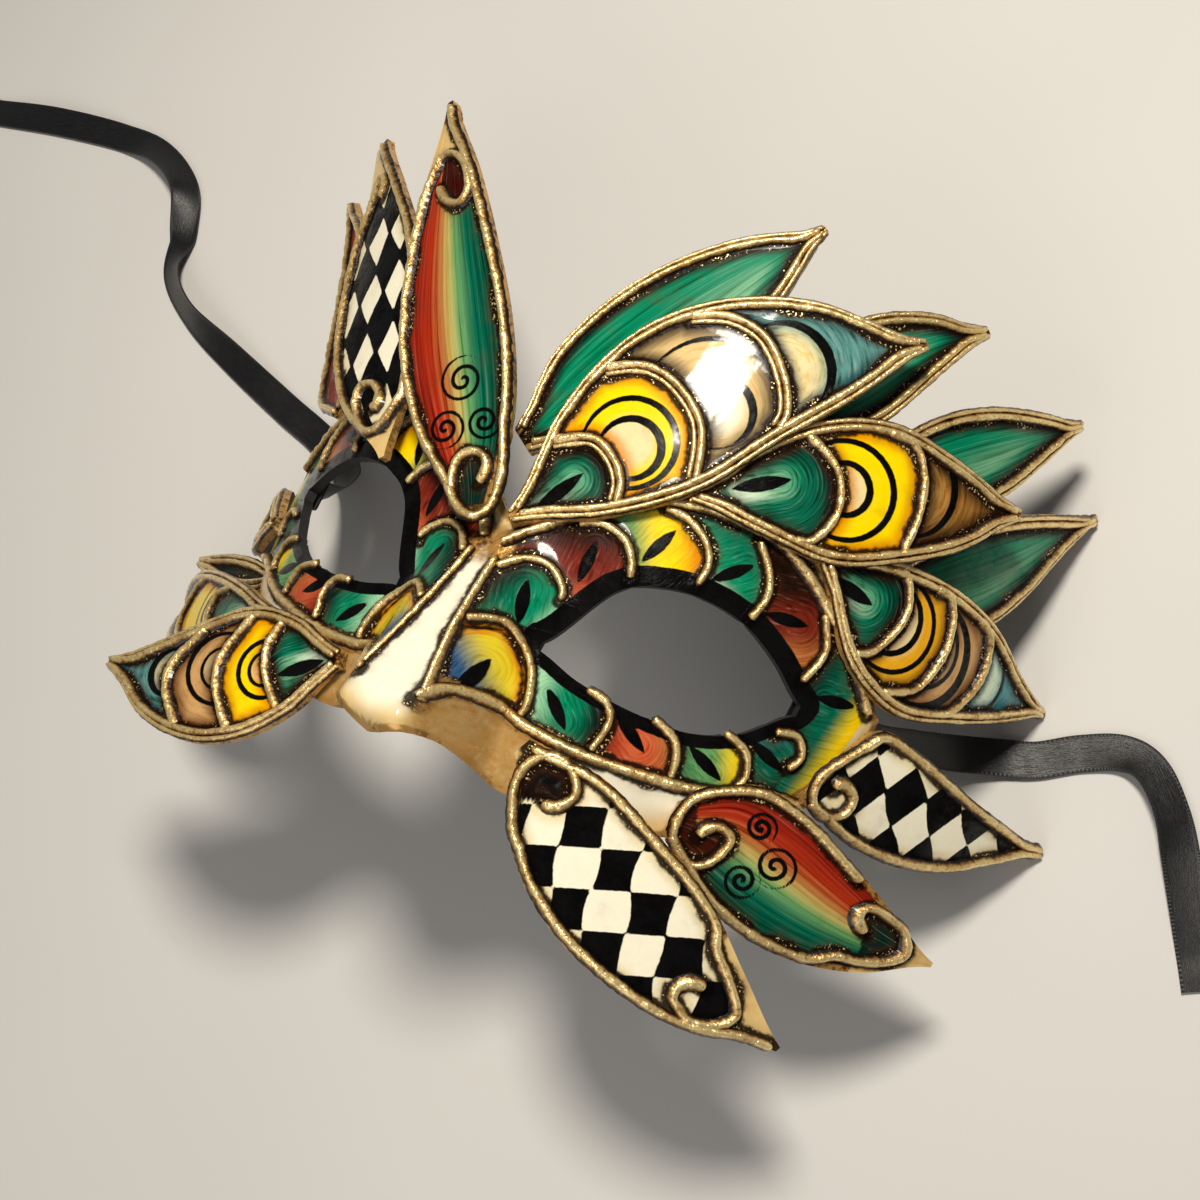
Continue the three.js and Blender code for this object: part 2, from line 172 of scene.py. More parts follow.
# Leaves. Columns: name, base arc and rise, tip arc and rise, lift of the tip, layer, painting, slot
LEAVES = [
    ("wing_upper", 1, 5.5, 52, 64, 5, FRONT_LAYER, "wing", "green"),
    ("wing_middle", 27, 22, 81, 47.5, 5, FRONT_LAYER, "wing", "green"),
    ("wing_lower", 52, 24, ON_FLOOR, 20.5, 2.5, FRONT_LAYER, "wing", "green"),
    ("feather_first", -6, 19, 27.5, 76.5, 4, REAR_LAYER, "feather", "emerald"),
    ("feather_second", 37.5, 40, 65, 74.5, 3, MIDDLE_LAYER, "feather", "emerald"),
    ("feather_third", 51.5, 32.5, 97, 72, 3, MIDDLE_LAYER, "feather", "emerald"),
    ("feather_fourth", 62, 22, ON_FLOOR, 58.5, 4.8, REAR_LAYER, "feather", "emerald"),
    ("cheek_checker_leaf", 20.5, -29, 78, -55, 12, FRONT_LAYER, "checker", "cream"),
    ("cheek_shaded_leaf", 48, -31.5, 96.5, -31, 14, FRONT_LAYER, "shaded", "cream"),
    ("temple_checker_leaf", 67.5, -15.5, ON_FLOOR, -4, 12.5, FRONT_LAYER, "checker", "cream"),
    ("crest_shaded_leaf", -4, 4.5, -45.5, 75, 17, TOP_LAYER, "shaded", "cream"),
    ("crest_checker_leaf", -27, 7.5, -70, 69, 18, TOP_LAYER, "checker", "cream"),
    ("crest_outer_leaf", -60, 14, -91, 60.5, 22, FRONT_LAYER, "shaded", "red"),
    ("low_wing_front", -18, -29.5, -63.5, -48.5, 19, FRONT_LAYER, "wing", "green"),
    ("low_wing_middle", -44, -27, ON_FLOOR, -33, 20, FRONT_LAYER, "wing", "green"),
    ("low_wing_rear", -66, -10, ON_FLOOR, -8, 4, FRONT_LAYER, "wing", "green"),
    ("low_feather", -70, -20, -98, -22.5, 18, REAR_LAYER, "feather", "emerald"),
]

# Leaf edges: how far the left and the right edge lie from the leaf's middle line, at even steps, base to tip
LEAF_EDGES = {
    "wing_upper": ([1, 14.5, 21.5, 21, 14, 0.5], [1.2, 7, 9, 6.3, 4, 0.5]),
    "wing_middle": ([1, 9, 13.5, 13.2, 7.2, 0], [1.2, 6.5, 11.2, 10.3, 7.3, 1.4]),
    "wing_lower": ([1, 5, 7.2, 6.2, 2.2, 0.8], [2.5, 14.3, 17.7, 13, 6.8, 0.4]),
    "feather_first": ([4, 12.3, 14.4, 12.8, 8, 0.6], [1.5, 9.5, 11.5, 10, 6, 0.4]),
    "feather_second": ([1, 9.5, 12.8, 11.6, 7.2, 0.5], [1.2, 5.2, 5.8, 3.9, 1.8, 0.5]),
    "feather_third": ([1, 7.5, 10.3, 9.2, 5.2, 0.4], [1.2, 7.2, 8.2, 7, 3.8, 0.8]),
    "feather_fourth": ([1.2, 4.4, 6.7, 6.4, 4.4, 1.8], [1.5, 11, 13, 9.5, 3.2, -0.8]),
    "cheek_checker_leaf": ([2, 7.2, 8, 7.6, 4, 0.5], [1.5, 12, 15.2, 14.2, 10, 0.5]),
    "cheek_shaded_leaf": ([6, 14, 13.6, 9.8, 5.2, 0.5], [0.2, 6.5, 9.6, 9.5, 6.5, 0.4]),
    "temple_checker_leaf": ([0.8, 14, 12, 7.6, 4, 1.2], [1, 5.8, 7.9, 7.3, 3.6, -0.2]),
    "crest_shaded_leaf": ([4.5, 11.3, 14.3, 12.4, 7.7, 1.6], [2.6, 7.5, 8.4, 6.8, 4, -0.4]),
    "crest_checker_leaf": ([2, 11.6, 14.6, 12.2, 5.8, 3.2], [-0.8, 6, 8.6, 9, 5.4, 1]),
    "crest_outer_leaf": ([1.2, 13.2, 14.2, 9.1, 3.1, 0.6], [1.2, 5.2, 7.5, 7.8, 5.8, 0.6]),
    "low_wing_front": ([1, 9.1, 13.8, 14.4, 10.2, 0.5], [1.8, 8.3, 11, 8.2, 3.8, 0.5]),
    "low_wing_middle": ([1.2, 7.9, 11.3, 11.3, 7.9, 0.6], [1.2, 4.3, 6.1, 6.4, 4.9, 0.6]),
    "low_wing_rear": ([1.2, 5, 7, 7, 5, 0.6], [1.2, 5.5, 7.7, 7.7, 5.5, 0.6]),
    "low_feather": ([1.2, 2.6, 3.4, 3.4, 2.6, 0.5], [1.2, 2.6, 3.4, 3.4, 2.6, 0.5]),
}

# Bars of raised cord over the wing leaves, left to right. Columns: across (left is plus), part of the length
BARS = {
    "wing_upper": [
        [(9.6, 0.15), (6.9, 0.234), (2.1, 0.26), (-2.5, 0.254), (-5.3, 0.225)],
        [(16.2, 0.32), (15.4, 0.4), (10.6, 0.447), (3.7, 0.465), (-1.5, 0.449), (-5.2, 0.401)],
        [(19.4, 0.54), (17.1, 0.62), (11.4, 0.67), (3.7, 0.671), (-2.1, 0.645), (-5, 0.608)],
    ],
    "wing_middle": [
        [(9.7, 0.33), (7.7, 0.386), (3.1, 0.424), (-2.9, 0.411), (-7.3, 0.345), (-8.9, 0.289)],
        [(13, 0.567), (9.9, 0.649), (4, 0.675), (-2.8, 0.653), (-7.8, 0.607)],
    ],
    "wing_lower": [
        [(5.1, 0.186), (4.1, 0.238), (-0.1, 0.284), (-5, 0.286), (-10.7, 0.249), (-13.2, 0.202)],
        [(7.8, 0.337), (5.2, 0.402), (0.8, 0.446), (-4.8, 0.46), (-12, 0.424), (-17.2, 0.33)],
        [(6.8, 0.516), (4.4, 0.581), (-0.4, 0.62), (-5.4, 0.619), (-10.7, 0.583), (-13.2, 0.552)],
    ],
    "low_wing_front": [
        [(8, 0.235), (2.9, 0.3), (-3, 0.318), (-9, 0.265)],
        [(10.9, 0.43), (4.4, 0.505), (-2, 0.495), (-10, 0.395)],
        [(10.2, 0.64), (5.2, 0.71), (0, 0.7), (-6.5, 0.59)],
    ],
    "low_wing_middle": [
        [(8.5, 0.26), (5.5, 0.32), (2, 0.35), (-1.5, 0.33), (-4.5, 0.26)],
        [(11, 0.5), (7, 0.58), (2.5, 0.6), (-2, 0.57), (-5.8, 0.5)],
    ],
    "low_wing_rear": [
        [(5.5, 0.3), (3, 0.38), (-0.3, 0.42), (-4, 0.39), (-6.5, 0.3)],
        [(6.5, 0.58), (3.5, 0.65), (-0.2, 0.68), (-4, 0.65), (-7, 0.58)],
    ],
}

# Leaves whose bars have a thin bead beside them
DOUBLE_BARS = ("wing_upper",)

# Rim cords that leave the edge and curl up inside the leaf, at its base or its tip.
# Columns: the part of the length at which the cord leaves the edge, then its points from there as in BARS
CURLS = {
    ("cheek_checker_leaf", "right", "base"): (0.2, [
        (-9.8, 0.155), (-6.7, 0.095), (-4.1, 0.061), (-0.8, 0.047), (2.6, 0.064), (4.1, 0.106),
        (3.6, 0.154), (1.8, 0.188), (-0.9, 0.187), (-2.7, 0.166), (-2.9, 0.144),
    ]),
    ("cheek_checker_leaf", "left", "tip"): (0.66, [
        (3.1, 0.706), (1.1, 0.794), (-0.6, 0.847), (-2.3, 0.866), (-5.4, 0.849), (-7.9, 0.802),
        (-7.8, 0.764), (-7.3, 0.732), (-5.4, 0.72), (-3.3, 0.736), (-2.3, 0.767),
    ]),
    ("cheek_shaded_leaf", "left", "base"): (0.24, [
        (11.2, 0.135), (8.2, 0.052), (4.8, 0.023), (0.7, 0.03), (-1.9, 0.079), (-2.6, 0.132),
        (-1, 0.183), (2.3, 0.212), (4.4, 0.209), (5.2, 0.164), (3.9, 0.125), (2, 0.107),
    ]),
    ("cheek_shaded_leaf", "left", "tip"): (0.66, []),
    ("cheek_shaded_leaf", "right", "tip"): (0.62, [
        (-5.7, 0.7), (-5, 0.769), (-2.8, 0.855), (-0.2, 0.895), (2.9, 0.864), (3.9, 0.807),
        (4.3, 0.748), (3.7, 0.711), (1.9, 0.7), (0.6, 0.724), (-0.1, 0.749),
    ]),
    ("temple_checker_leaf", "left", "base"): (0.24, [
        (11.2, 0.182), (7.1, 0.09), (3.9, 0.039), (0.3, 0.033), (-1.9, 0.073), (-1.7, 0.142),
        (0.1, 0.177), (2.3, 0.18), (3.7, 0.148), (3.9, 0.116), (2.6, 0.109),
    ]),
    ("crest_shaded_leaf", "right", "base"): (0.22, [
        (-5.9, 0.173), (-5.2, 0.087), (-3.9, 0.024), (-2.3, -0.016), (-0.2, -0.028), (2.3, -0.01),
        (4.3, 0.039), (3.6, 0.095), (1.6, 0.12), (-0.8, 0.119), (-2.3, 0.098), (-2, 0.072), (-0.6, 0.048),
    ]),
    ("crest_shaded_leaf", "left", "tip"): (0.77, [
        (4.3, 0.829), (2.7, 0.85), (0.4, 0.847), (-1.7, 0.818), (-2.6, 0.774), (-2.4, 0.736),
        (-0.7, 0.712), (1.5, 0.723), (3, 0.745), (3.8, 0.776),
    ]),
    ("crest_checker_leaf", "right", "base"): (0.22, [
        (-3.6, 0.147), (0.6, 0.093), (4.8, 0.09), (7.1, 0.146), (7.6, 0.2), (5.8, 0.23),
        (3.2, 0.22), (1.6, 0.185), (2, 0.151), (3.7, 0.155),
    ]),
    ("crest_checker_leaf", "left", "base"): (0.1, []),
    ("crest_checker_leaf", "left", "tip"): (0.74, [
        (4.4, 0.77), (3, 0.8), (1.6, 0.83), (0.3, 0.852), (-0.9, 0.85), (-1.3, 0.825),
        (-0.7, 0.8), (0.2, 0.785),
    ]),
}

# Cords on the right half of the shell as arc and rise; the left half is their mirror image
BROW_LINE = [
    (1.5, 0.5), (4.5, 4.4), (10.3, 10), (16.4, 14.7), (23.2, 18.9), (29.9, 21), (36.6, 21.9),
    (43.3, 21.9), (50.4, 19.4), (57, 15.6), (63.9, 11), (69.8, 6), (73.2, 2.6),
]
NOSE_LINE = [(2.4, -1.5), (2.9, -9), (3.6, -16), (4.6, -22), (5.6, -27), (6, -30)]
CHEEK_LINE = [
    (5.2, -29.5), (8, -25.6), (13.6, -24.4), (18.5, -25.4), (25.3, -25.8), (31.7, -25.5),
    (41, -24.2), (47.5, -23), (54.1, -21), (60.9, -18.2), (69.6, -16.6),
]
BROW_SCALES = [
    [(3.3, -3.4), (6.7, 0.1), (10.9, 0.8), (14.6, -1.9), (15.1, -4)],
    [(11.8, 9.4), (15.9, 11.2), (20.3, 10.3), (23, 7.6), (24.3, 4.4)],
    [(24.1, 18.2), (28.5, 18.2), (32.9, 16), (35.1, 12.5), (34.8, 8.5)],
    [(41.1, 20.4), (44.8, 16.5), (46.5, 12.2), (45.4, 7.3)],
    [(57, 14.6), (60.2, 8.6), (58.5, 2.2)],
]
NOSE_RING = [
    (4.2, -13.8), (7.2, -11.9), (9.9, -11.4), (13.7, -13.9), (16.4, -17.3), (17.9, -22.2), (17.4, -24.6),
]
CHEEK_SCALES = [
    [(25.8, -15.4), (29.8, -16), (31.8, -18.9), (31, -24.6)],
    [(37.9, -14.8), (42.6, -16.3), (44.6, -19.1), (45.3, -22.7)],
    [(50.1, -11.5), (54.9, -12.8), (56.9, -16.4), (56.2, -19.4)],
    [(58, -7.5), (62.4, -6.5), (64.7, -9.3), (63.2, -12.4)],
]

# Tie ribbons, from the temple to the cut end. Columns: x, y and height over the floor, then roll in degrees
RIBBON_WIDTH = 7
RIBBON_THICKNESS = 0.4
RIBBON_STEP = 1
RIBBON_COLUMNS = 12
SELVEDGE = (0.42, 0.48)
SELVEDGE_HEIGHT = 0.12
THREADS_ACROSS = 9
THREADS_ALONG = 0.25
RIBBONS = {
    "ribbon_right": [
        (52.6, -1, 44.3, 0), (58.9, -1, 37.7, 0), (63.5, 0, 28, 0), (67.5, 3, 16, 0), (73, 6.5, 6, 0),
        (79.5, 9.5, 2, 0), (86, 12, 0.8, 0), (93, 16.5, 0.6, 0), (100, 19.5, 0.6, 8), (106, 18.5, 0.6, 25),
        (112, 13, 0.6, 30), (117, 5.5, 0.6, 15), (126, -9, 0.6, 0), (129, -14, 0.6, 0),
    ],
    "ribbon_left": [
        (-52.6, -1, 44.3, 0), (-58.9, -1, 37.7, 0), (-63.5, 0.5, 28, 0), (-68.5, 4.5, 16, 0), (-75, 9, 6, 0),
        (-82.5, 12.5, 2, 0), (-91, 15.5, 0.8, 0), (-103, 18.7, 0.6, 0), (-122, 24.5, 0.6, 20),
        (-138, 30, 0.6, 45), (-149, 38, 0.6, 30), (-153, 49, 0.6, -10), (-158, 59, 0.6, -40),
        (-170, 65, 0.6, -25), (-184, 66, 0.6, 0), (-206, 64, 0.6, 15), (-227, 61, 0.6, 0), (-235, 60, 0.6, 0),
    ],
}


# The standard curve between a colour card's values and light
CARD_TOP = 255
CURVE_START = 0.04045
CURVE_SLOPE = 12.92
CURVE_SHIFT = 0.055
CURVE_POWER = 2.4


def pigment(red, green, blue):
    """A paint, from the 0 to 255 values that a colour card gives."""
    shares = np.array([red, green, blue]) / CARD_TOP
    curved = ((shares + CURVE_SHIFT) / (1 + CURVE_SHIFT)) ** CURVE_POWER
    return np.where(shares <= CURVE_START, shares / CURVE_SLOPE, curved)


# Paints
BLACK = pigment(8, 7, 7)
IVORY = pigment(250, 244, 220)
CREAM = pigment(240, 222, 168)
LEMON = pigment(255, 222, 0)
SOFT_YELLOW = pigment(238, 216, 48)
SAFFRON = pigment(240, 178, 28)
AMBER = pigment(226, 140, 0)
ORANGE = pigment(178, 52, 22)
RUST = pigment(186, 112, 58)
OLIVE = pigment(196, 178, 102)
LEAF_GREEN = pigment(104, 160, 100)
TAN = pigment(206, 162, 104)
OCHRE = pigment(196, 146, 74)
DARK_OCHRE = pigment(150, 104, 42)
BUFF = pigment(228, 196, 132)
BROWN = pigment(92, 46, 12)
UMBER = pigment(26, 12, 4)
DEEP_GREEN = pigment(0, 40, 32)
EMERALD = pigment(0, 104, 78)
JADE = pigment(0, 136, 98)
MINT = pigment(176, 226, 184)
PALE_MINT = pigment(226, 242, 218)
DEEP_TEAL = pigment(8, 62, 70)
TEAL = pigment(16, 100, 108)
PALE_TEAL = pigment(96, 150, 144)
BLUE = pigment(30, 92, 140)
SKY = pigment(84, 160, 166)
RED = pigment(146, 32, 16)
DARK_RED = pigment(62, 14, 8)
BRICK = pigment(120, 36, 20)
CLAY = pigment(120, 40, 24)
SALMON = pigment(206, 98, 58)
CHAMPAGNE = pigment(255, 230, 164)
GILT = pigment(208, 160, 88)
SOOT = pigment(20, 18, 18)
PULP_BROWN = pigment(66, 52, 40)
SATIN_BLACK = pigment(5, 5, 6)
SATIN_GREY = pigment(30, 29, 33)
FLOOR_GREY = pigment(214, 212, 208)
FLOOR_PALE = pigment(222, 220, 216)

# Sockets of a Mix node that mixes colours
MIX_FACTOR = 0
MIX_FIRST = 6
MIX_SECOND = 7
MIX_RESULT = 2


class Shade:
    """A shader socket that takes part in sums; node adds any node beside them."""

    def __init__(self, tree, socket=None):
        self.tree = tree
        self.socket = socket

    def node(self, kind, settings=None, inputs=None, output=0):
        made = self.tree.nodes.new(kind)
        for name, value in (settings or {}).items():
            setattr(made, name, value)
        for name, value in (inputs or {}).items():
            if isinstance(value, Shade):
                self.tree.links.new(value.socket, made.inputs[name])
            else:
                made.inputs[name].default_value = value
        return Shade(self.tree, made.outputs[output] if made.outputs else None)

    def sum_node(self, operation, first, second):
        return self.node("ShaderNodeMath", {"operation": operation}, {0: first, 1: second})

    def __add__(self, other):
        return self.sum_node("ADD", self, other)

    def __radd__(self, other):
        return self.sum_node("ADD", other, self)

    def __sub__(self, other):
        return self.sum_node("SUBTRACT", self, other)

    def __rsub__(self, other):
        return self.sum_node("SUBTRACT", other, self)

    def __mul__(self, other):
        return self.sum_node("MULTIPLY", self, other)

    def __rmul__(self, other):
        return self.sum_node("MULTIPLY", other, self)

    def sine(self):
        return self.node("ShaderNodeMath", {"operation": "SINE"}, {0: self})

    def eased(self, low, high):
        settings = {"interpolation_type": "SMOOTHSTEP"}
        return self.node("ShaderNodeMapRange", settings, {"Value": self, "From Min": low, "From Max": high})

    def attribute(self, name, output):
        return self.node("ShaderNodeAttribute", {"attribute_name": name}, output=output)

    def noise(self, vector, scale, detail=3, roughness=0.55):
        inputs = {"Vector": vector, "Scale": scale, "Detail": detail, "Roughness": roughness}
        return self.node("ShaderNodeTexNoise", inputs=inputs)

    def mixed(self, first, second, factor, kind="MIX"):
        settings = {"data_type": "RGBA", "blend_type": kind, "clamp_factor": True}
        inputs = {MIX_FACTOR: factor, MIX_FIRST: first, MIX_SECOND: second}
        return self.node("ShaderNodeMix", settings, inputs, MIX_RESULT)

    def bump(self, height, distance, strength):
        inputs = {"Strength": strength, "Distance": distance, "Height": height}
        return self.node("ShaderNodeBump", inputs=inputs)


def opaque(paint):
    """A paint as a socket takes it, with full cover."""
    return (*[float(share) for share in paint], 1.0)


def new_finish(name):
    """An empty material, and the shade its nodes start from."""
    material = bpy.data.materials.new(name)
    material.use_nodes = True
    material.node_tree.nodes.clear()
    return material, Shade(material.node_tree)


def close_finish(shade, inputs):
    """The surface of a material."""
    surface = shade.node("ShaderNodeBsdfPrincipled", inputs=inputs)
    shade.node("ShaderNodeOutputMaterial", inputs={"Surface": surface})


# Brushed paint: a range says where a mask starts to rise and where it is full, a share how much of it shows
NOISE_MIDDLE = 0.5
DEEP_STROKES = (0.3, 0.56)
PALE_STROKES = (0.55, 0.8)
PALE_STROKE_SHARE = 0.2
STAINS = (0.54, 0.76)
STAIN_SHARE = 0.22
SOFT_GLAZE_REACH = (0, 2.8)
SOFT_GLAZE = (0.3, 0.7)
SOFT_GLAZE_SHARE = 0.5
GLAZE_WANDER = 2.6
GLAZE_FRAY = 0.6
GLAZE_SHIFT = 0.75
GLAZE_EDGE = (-0.25, 0.4)
GLAZE_SHARE = 0.96
FLECK_CLOUD = 0.6
FLECKS = (0.96, 1.02)
CLEAR_OF_CORDS = (0.3, 1.6)
INK_FRAY = 0.25
INK_EDGE = (-0.1, 0.1)
GILT_COVER = (0.8, 1.1)
GILT_GROUND = 1.2
VARNISH_CLOUD = 1.3
VARNISH_GRAIN = 0.7
VARNISH = (0.72, 1.15)
VARNISH_SHARE = 0.6
PAINT_ROUGHNESS = 0.22
STAIN_ROUGHNESS = 0.16
INK_GLOSS = 0.12
GILT_METAL = 0.6
FLECK_METAL = 0.5
BRISTLE_HEIGHT = 0.5
STAIN_HEIGHT = 0.6
INK_HEIGHT = 0.3
GLAZE_HEIGHT = 0.8


def painted_finish():
    """Brushed paint with inked marks, brown glaze by the cords, gilded edges and a glossy varnish."""
    material, shade = new_finish("brushed paint under varnish")
    place = shade.node("ShaderNodeTexCoord", output="Object")
    paint = shade.attribute("paint", "Color")
    ink = shade.attribute("ink", "Fac")
    corner = shade.attribute("corner", "Fac")
    gilt = shade.attribute("gilt", "Fac")
    brush = shade.attribute("brush", "Fac")
    stroke = shade.attribute("stroke", "Vector")
    bristle = shade.noise(stroke, scale=1, detail=5, roughness=0.62)
    cloud = shade.noise(place, scale=170, detail=4)
    grain = shade.noise(place, scale=1000)
    speck = shade.noise(place, scale=2300, detail=2)
    # Brush strokes run from a deep tone of the paint to a pale one, with brown stains over them
    deep = shade.mixed(paint, paint, 1.0, "MULTIPLY")
    colour = shade.mixed(paint, deep, (1 - bristle.eased(*DEEP_STROKES)) * brush)
    colour = shade.mixed(colour, opaque(IVORY), bristle.eased(*PALE_STROKES) * brush * PALE_STROKE_SHARE)
    colour = shade.mixed(colour, opaque(BROWN), cloud.eased(*STAINS) * STAIN_SHARE)
    # Brown glaze lies by the cords, with flecks of gold in it
    soft = 1 - corner.eased(*SOFT_GLAZE_REACH)
    colour = shade.mixed(colour, opaque(BROWN), soft * cloud.eased(*SOFT_GLAZE) * SOFT_GLAZE_SHARE)
    glaze_line = corner - cloud * GLAZE_WANDER + GLAZE_SHIFT - grain * GLAZE_FRAY
    glaze = 1 - glaze_line.eased(*GLAZE_EDGE)
    colour = shade.mixed(colour, opaque(UMBER), glaze * GLAZE_SHARE)
    clear = corner.eased(*CLEAR_OF_CORDS)
    fleck = (speck + cloud * FLECK_CLOUD).eased(*FLECKS) * (1 - clear)
    colour = shade.mixed(colour, opaque(CHAMPAGNE), fleck)
    # Ink lies on the paint, and gold over brown along the edges
    black = (ink + (grain - NOISE_MIDDLE) * INK_FRAY).eased(*INK_EDGE)
    colour = shade.mixed(colour, opaque(BLACK), black)
    leaf = gilt * (grain + cloud).eased(*GILT_COVER)
    colour = shade.mixed(colour, opaque(BROWN), gilt * (GILT_GROUND - cloud))
    colour = shade.mixed(colour, opaque(GILT), leaf)
    varnish = (cloud * VARNISH_CLOUD + grain * VARNISH_GRAIN).eased(*VARNISH) * clear
    height = bristle * brush * BRISTLE_HEIGHT + cloud * STAIN_HEIGHT
    height = height + black * INK_HEIGHT + grain * glaze * GLAZE_HEIGHT
    close_finish(shade, {
        "Base Color": colour,
        "Roughness": PAINT_ROUGHNESS + cloud * STAIN_ROUGHNESS - black * INK_GLOSS,
        "Metallic": leaf * GILT_METAL + fleck * FLECK_METAL,
        "Specular IOR Level": 0.05,
        "Coat Weight": varnish * VARNISH_SHARE,
        "Coat Roughness": 0.05,
        "Normal": shade.bump(height, distance=0.0005, strength=0.35),
    })
    return material


# Gold paste: what the crown, the grain and the clouds add up to; where that is high the top is painted light
# over brown feet, which are partly patina and partly painted shade, and higher still it gets a painted
# highlight along the crown
PAINTED_LIGHT_GRAIN = 0.7
PAINTED_LIGHT_CLOUD = 0.6
PAINTED_LIGHT_START = 0.95
PAINTED_LIGHT_RANGE = (0, 0.55)
PAINTED_LIGHT_METAL = 0.3
HIGHLIGHT_GRAIN = 0.5
HIGHLIGHT_CLOUD = 0.9
CROWN_HIGHLIGHT_RANGE = (1.3, 1.75)
HIGHLIGHT_GLOSS = 0.1
PITS = (0.3, 0.42)
PIT_SHARE = 0.6
GOLD_ROUGHNESS = 0.36
GOLD_METAL = 0.35
GOLD_CLOUD_HEIGHT = 0.8


def gold_finish():
    """Raised paste under pale gold paint, with a painted highlight along its top and brown at its feet,
    partly patina and partly painted shade.
    """
    material, shade = new_finish("gold painted paste")
    place = shade.node("ShaderNodeTexCoord", output="Object")
    crown = shade.attribute("crown", "Fac")
    grain = shade.noise(place, scale=1300, roughness=0.6)
    cloud = shade.noise(place, scale=260)
    # Painted light: gold on the top over brown feet that are partly patina and partly painted shade, then a
    # pale painted highlight along the crown
    painted_light_and_patina = (crown + grain * PAINTED_LIGHT_GRAIN + cloud * PAINTED_LIGHT_CLOUD - PAINTED_LIGHT_START).eased(*PAINTED_LIGHT_RANGE)
    painted_crown_highlight = (crown + grain * HIGHLIGHT_GRAIN + cloud * HIGHLIGHT_CLOUD).eased(*CROWN_HIGHLIGHT_RANGE)
    pit = (1 - grain.eased(*PITS)) * PIT_SHARE
    colour = shade.mixed(opaque(UMBER), opaque(GILT), painted_light_and_patina)
    colour = shade.mixed(colour, opaque(CHAMPAGNE), painted_crown_highlight)
    colour = shade.mixed(colour, opaque(BROWN), pit)
    close_finish(shade, {
        "Base Color": colour,
        "Roughness": GOLD_ROUGHNESS - painted_crown_highlight * HIGHLIGHT_GLOSS,
        "Metallic": GOLD_METAL + painted_light_and_patina * PAINTED_LIGHT_METAL,
        "Coat Weight": 0.35,
        "Coat Roughness": 0.12,
        "Normal": shade.bump(grain + cloud * GOLD_CLOUD_HEIGHT, distance=0.0006, strength=0.5),
    })
    return material


# Sheet edge
EDGE_CLOUD = 0.7
EDGE_COVER = (0.62, 0.95)
EDGE_ROUGHNESS = 0.6
EDGE_GLOSS = 0.2
EDGE_METAL = 0.4


def edge_finish():
    """The cut edge of a sheet: gold paint brushed thinly over brown paper."""
    material, shade = new_finish("gold brushed sheet edge")
    place = shade.node("ShaderNodeTexCoord", output="Object")
    grain = shade.noise(place, scale=900, detail=4, roughness=0.65)
    cloud = shade.noise(place, scale=170)
    cover = (grain + cloud * EDGE_CLOUD).eased(*EDGE_COVER)
    colour = shade.mixed(opaque(UMBER), opaque(GILT), cover)
    close_finish(shade, {
        "Base Color": colour,
        "Roughness": EDGE_ROUGHNESS - cover * EDGE_GLOSS,
        "Metallic": cover * EDGE_METAL,
        "Normal": shade.bump(grain, distance=0.0004, strength=0.5),
    })
    return material


# Lining
LINING_RUB = (0.28, 0.5)
LINING_ROUGHNESS = 0.55
PULP_ROUGHNESS = 0.25


def lining_finish():
    """The back of the sheets: black paint brushed over papier-mache."""
    material, shade = new_finish("black brushed lining")
    place = shade.node("ShaderNodeTexCoord", output="Object")
    pulp = shade.noise(place, scale=260, detail=5, roughness=0.6)
    rub = shade.noise(place, scale=60)
    colour = shade.mixed(opaque(SOOT), opaque(PULP_BROWN), (pulp * rub).eased(*LINING_RUB))
    close_finish(shade, {
        "Base Color": colour,
        "Roughness": LINING_ROUGHNESS + pulp * PULP_ROUGHNESS,
        "Normal": shade.bump(pulp, distance=0.0006, strength=0.5),
    })
    return material


# Satin
RIB_WAVES = 28
SATIN_LIGHT = (0.4, 0.75)
THREAD_HEIGHT = 0.6
RIB_HEIGHT = 0.5
SATIN_ROUGHNESS = 0.28
THREAD_ROUGHNESS = 0.2
SELVEDGE_ROUGHNESS = 0.15


def satin_finish():
    """Black satin: fine threads along the ribbon with painted sheen streaks in its colour, and a ribbed
    selvedge.
    """
    material, shade = new_finish("black satin")
    thread = shade.attribute("thread", "Vector")
    along = shade.node("ShaderNodeSeparateXYZ", inputs={0: thread}, output="Y")
    edge = shade.attribute("selvedge", "Fac")
    sheen = shade.noise(thread, scale=1)
    rib = (along * RIB_WAVES).sine()
    # The grey streaks in the colour are painted sheen along the threads
    colour = shade.mixed(opaque(SATIN_BLACK), opaque(SATIN_GREY), sheen.eased(*SATIN_LIGHT))
    height = sheen * THREAD_HEIGHT + rib * edge * RIB_HEIGHT
    close_finish(shade, {
        "Base Color": colour,
        "Roughness": SATIN_ROUGHNESS + sheen * THREAD_ROUGHNESS + edge * SELVEDGE_ROUGHNESS,
        "Sheen Weight": 0.1,
        "Normal": shade.bump(height, distance=0.0003, strength=0.4),
    })
    return material


def floor_finish():
    """A pale matt floor."""
    material, shade = new_finish("pale floor")
    place = shade.node("ShaderNodeTexCoord", output="Object")
    cloud = shade.noise(place, scale=9, detail=2)
    colour = shade.mixed(opaque(FLOOR_GREY), opaque(FLOOR_PALE), cloud)
    close_finish(shade, {"Base Color": colour, "Roughness": 0.7})
    return material


PAINTED = painted_finish()
GOLD = gold_finish()
EDGE = edge_finish()
LINING = lining_finish()
SATIN = satin_finish()


def ease(low, high, value):
    """0 up to low, 1 from high, smooth between them."""
    part = np.clip((value - low) / (high - low), 0, 1)
    return part * part * (3 - 2 * part)


def tinted(first, second, part):
    """Two paints mixed point by point; part is 0 for the first and 1 for the second."""
    first = np.atleast_2d(first)
    second = np.atleast_2d(second)
    return first + (second - first) * np.reshape(part, (-1, 1))


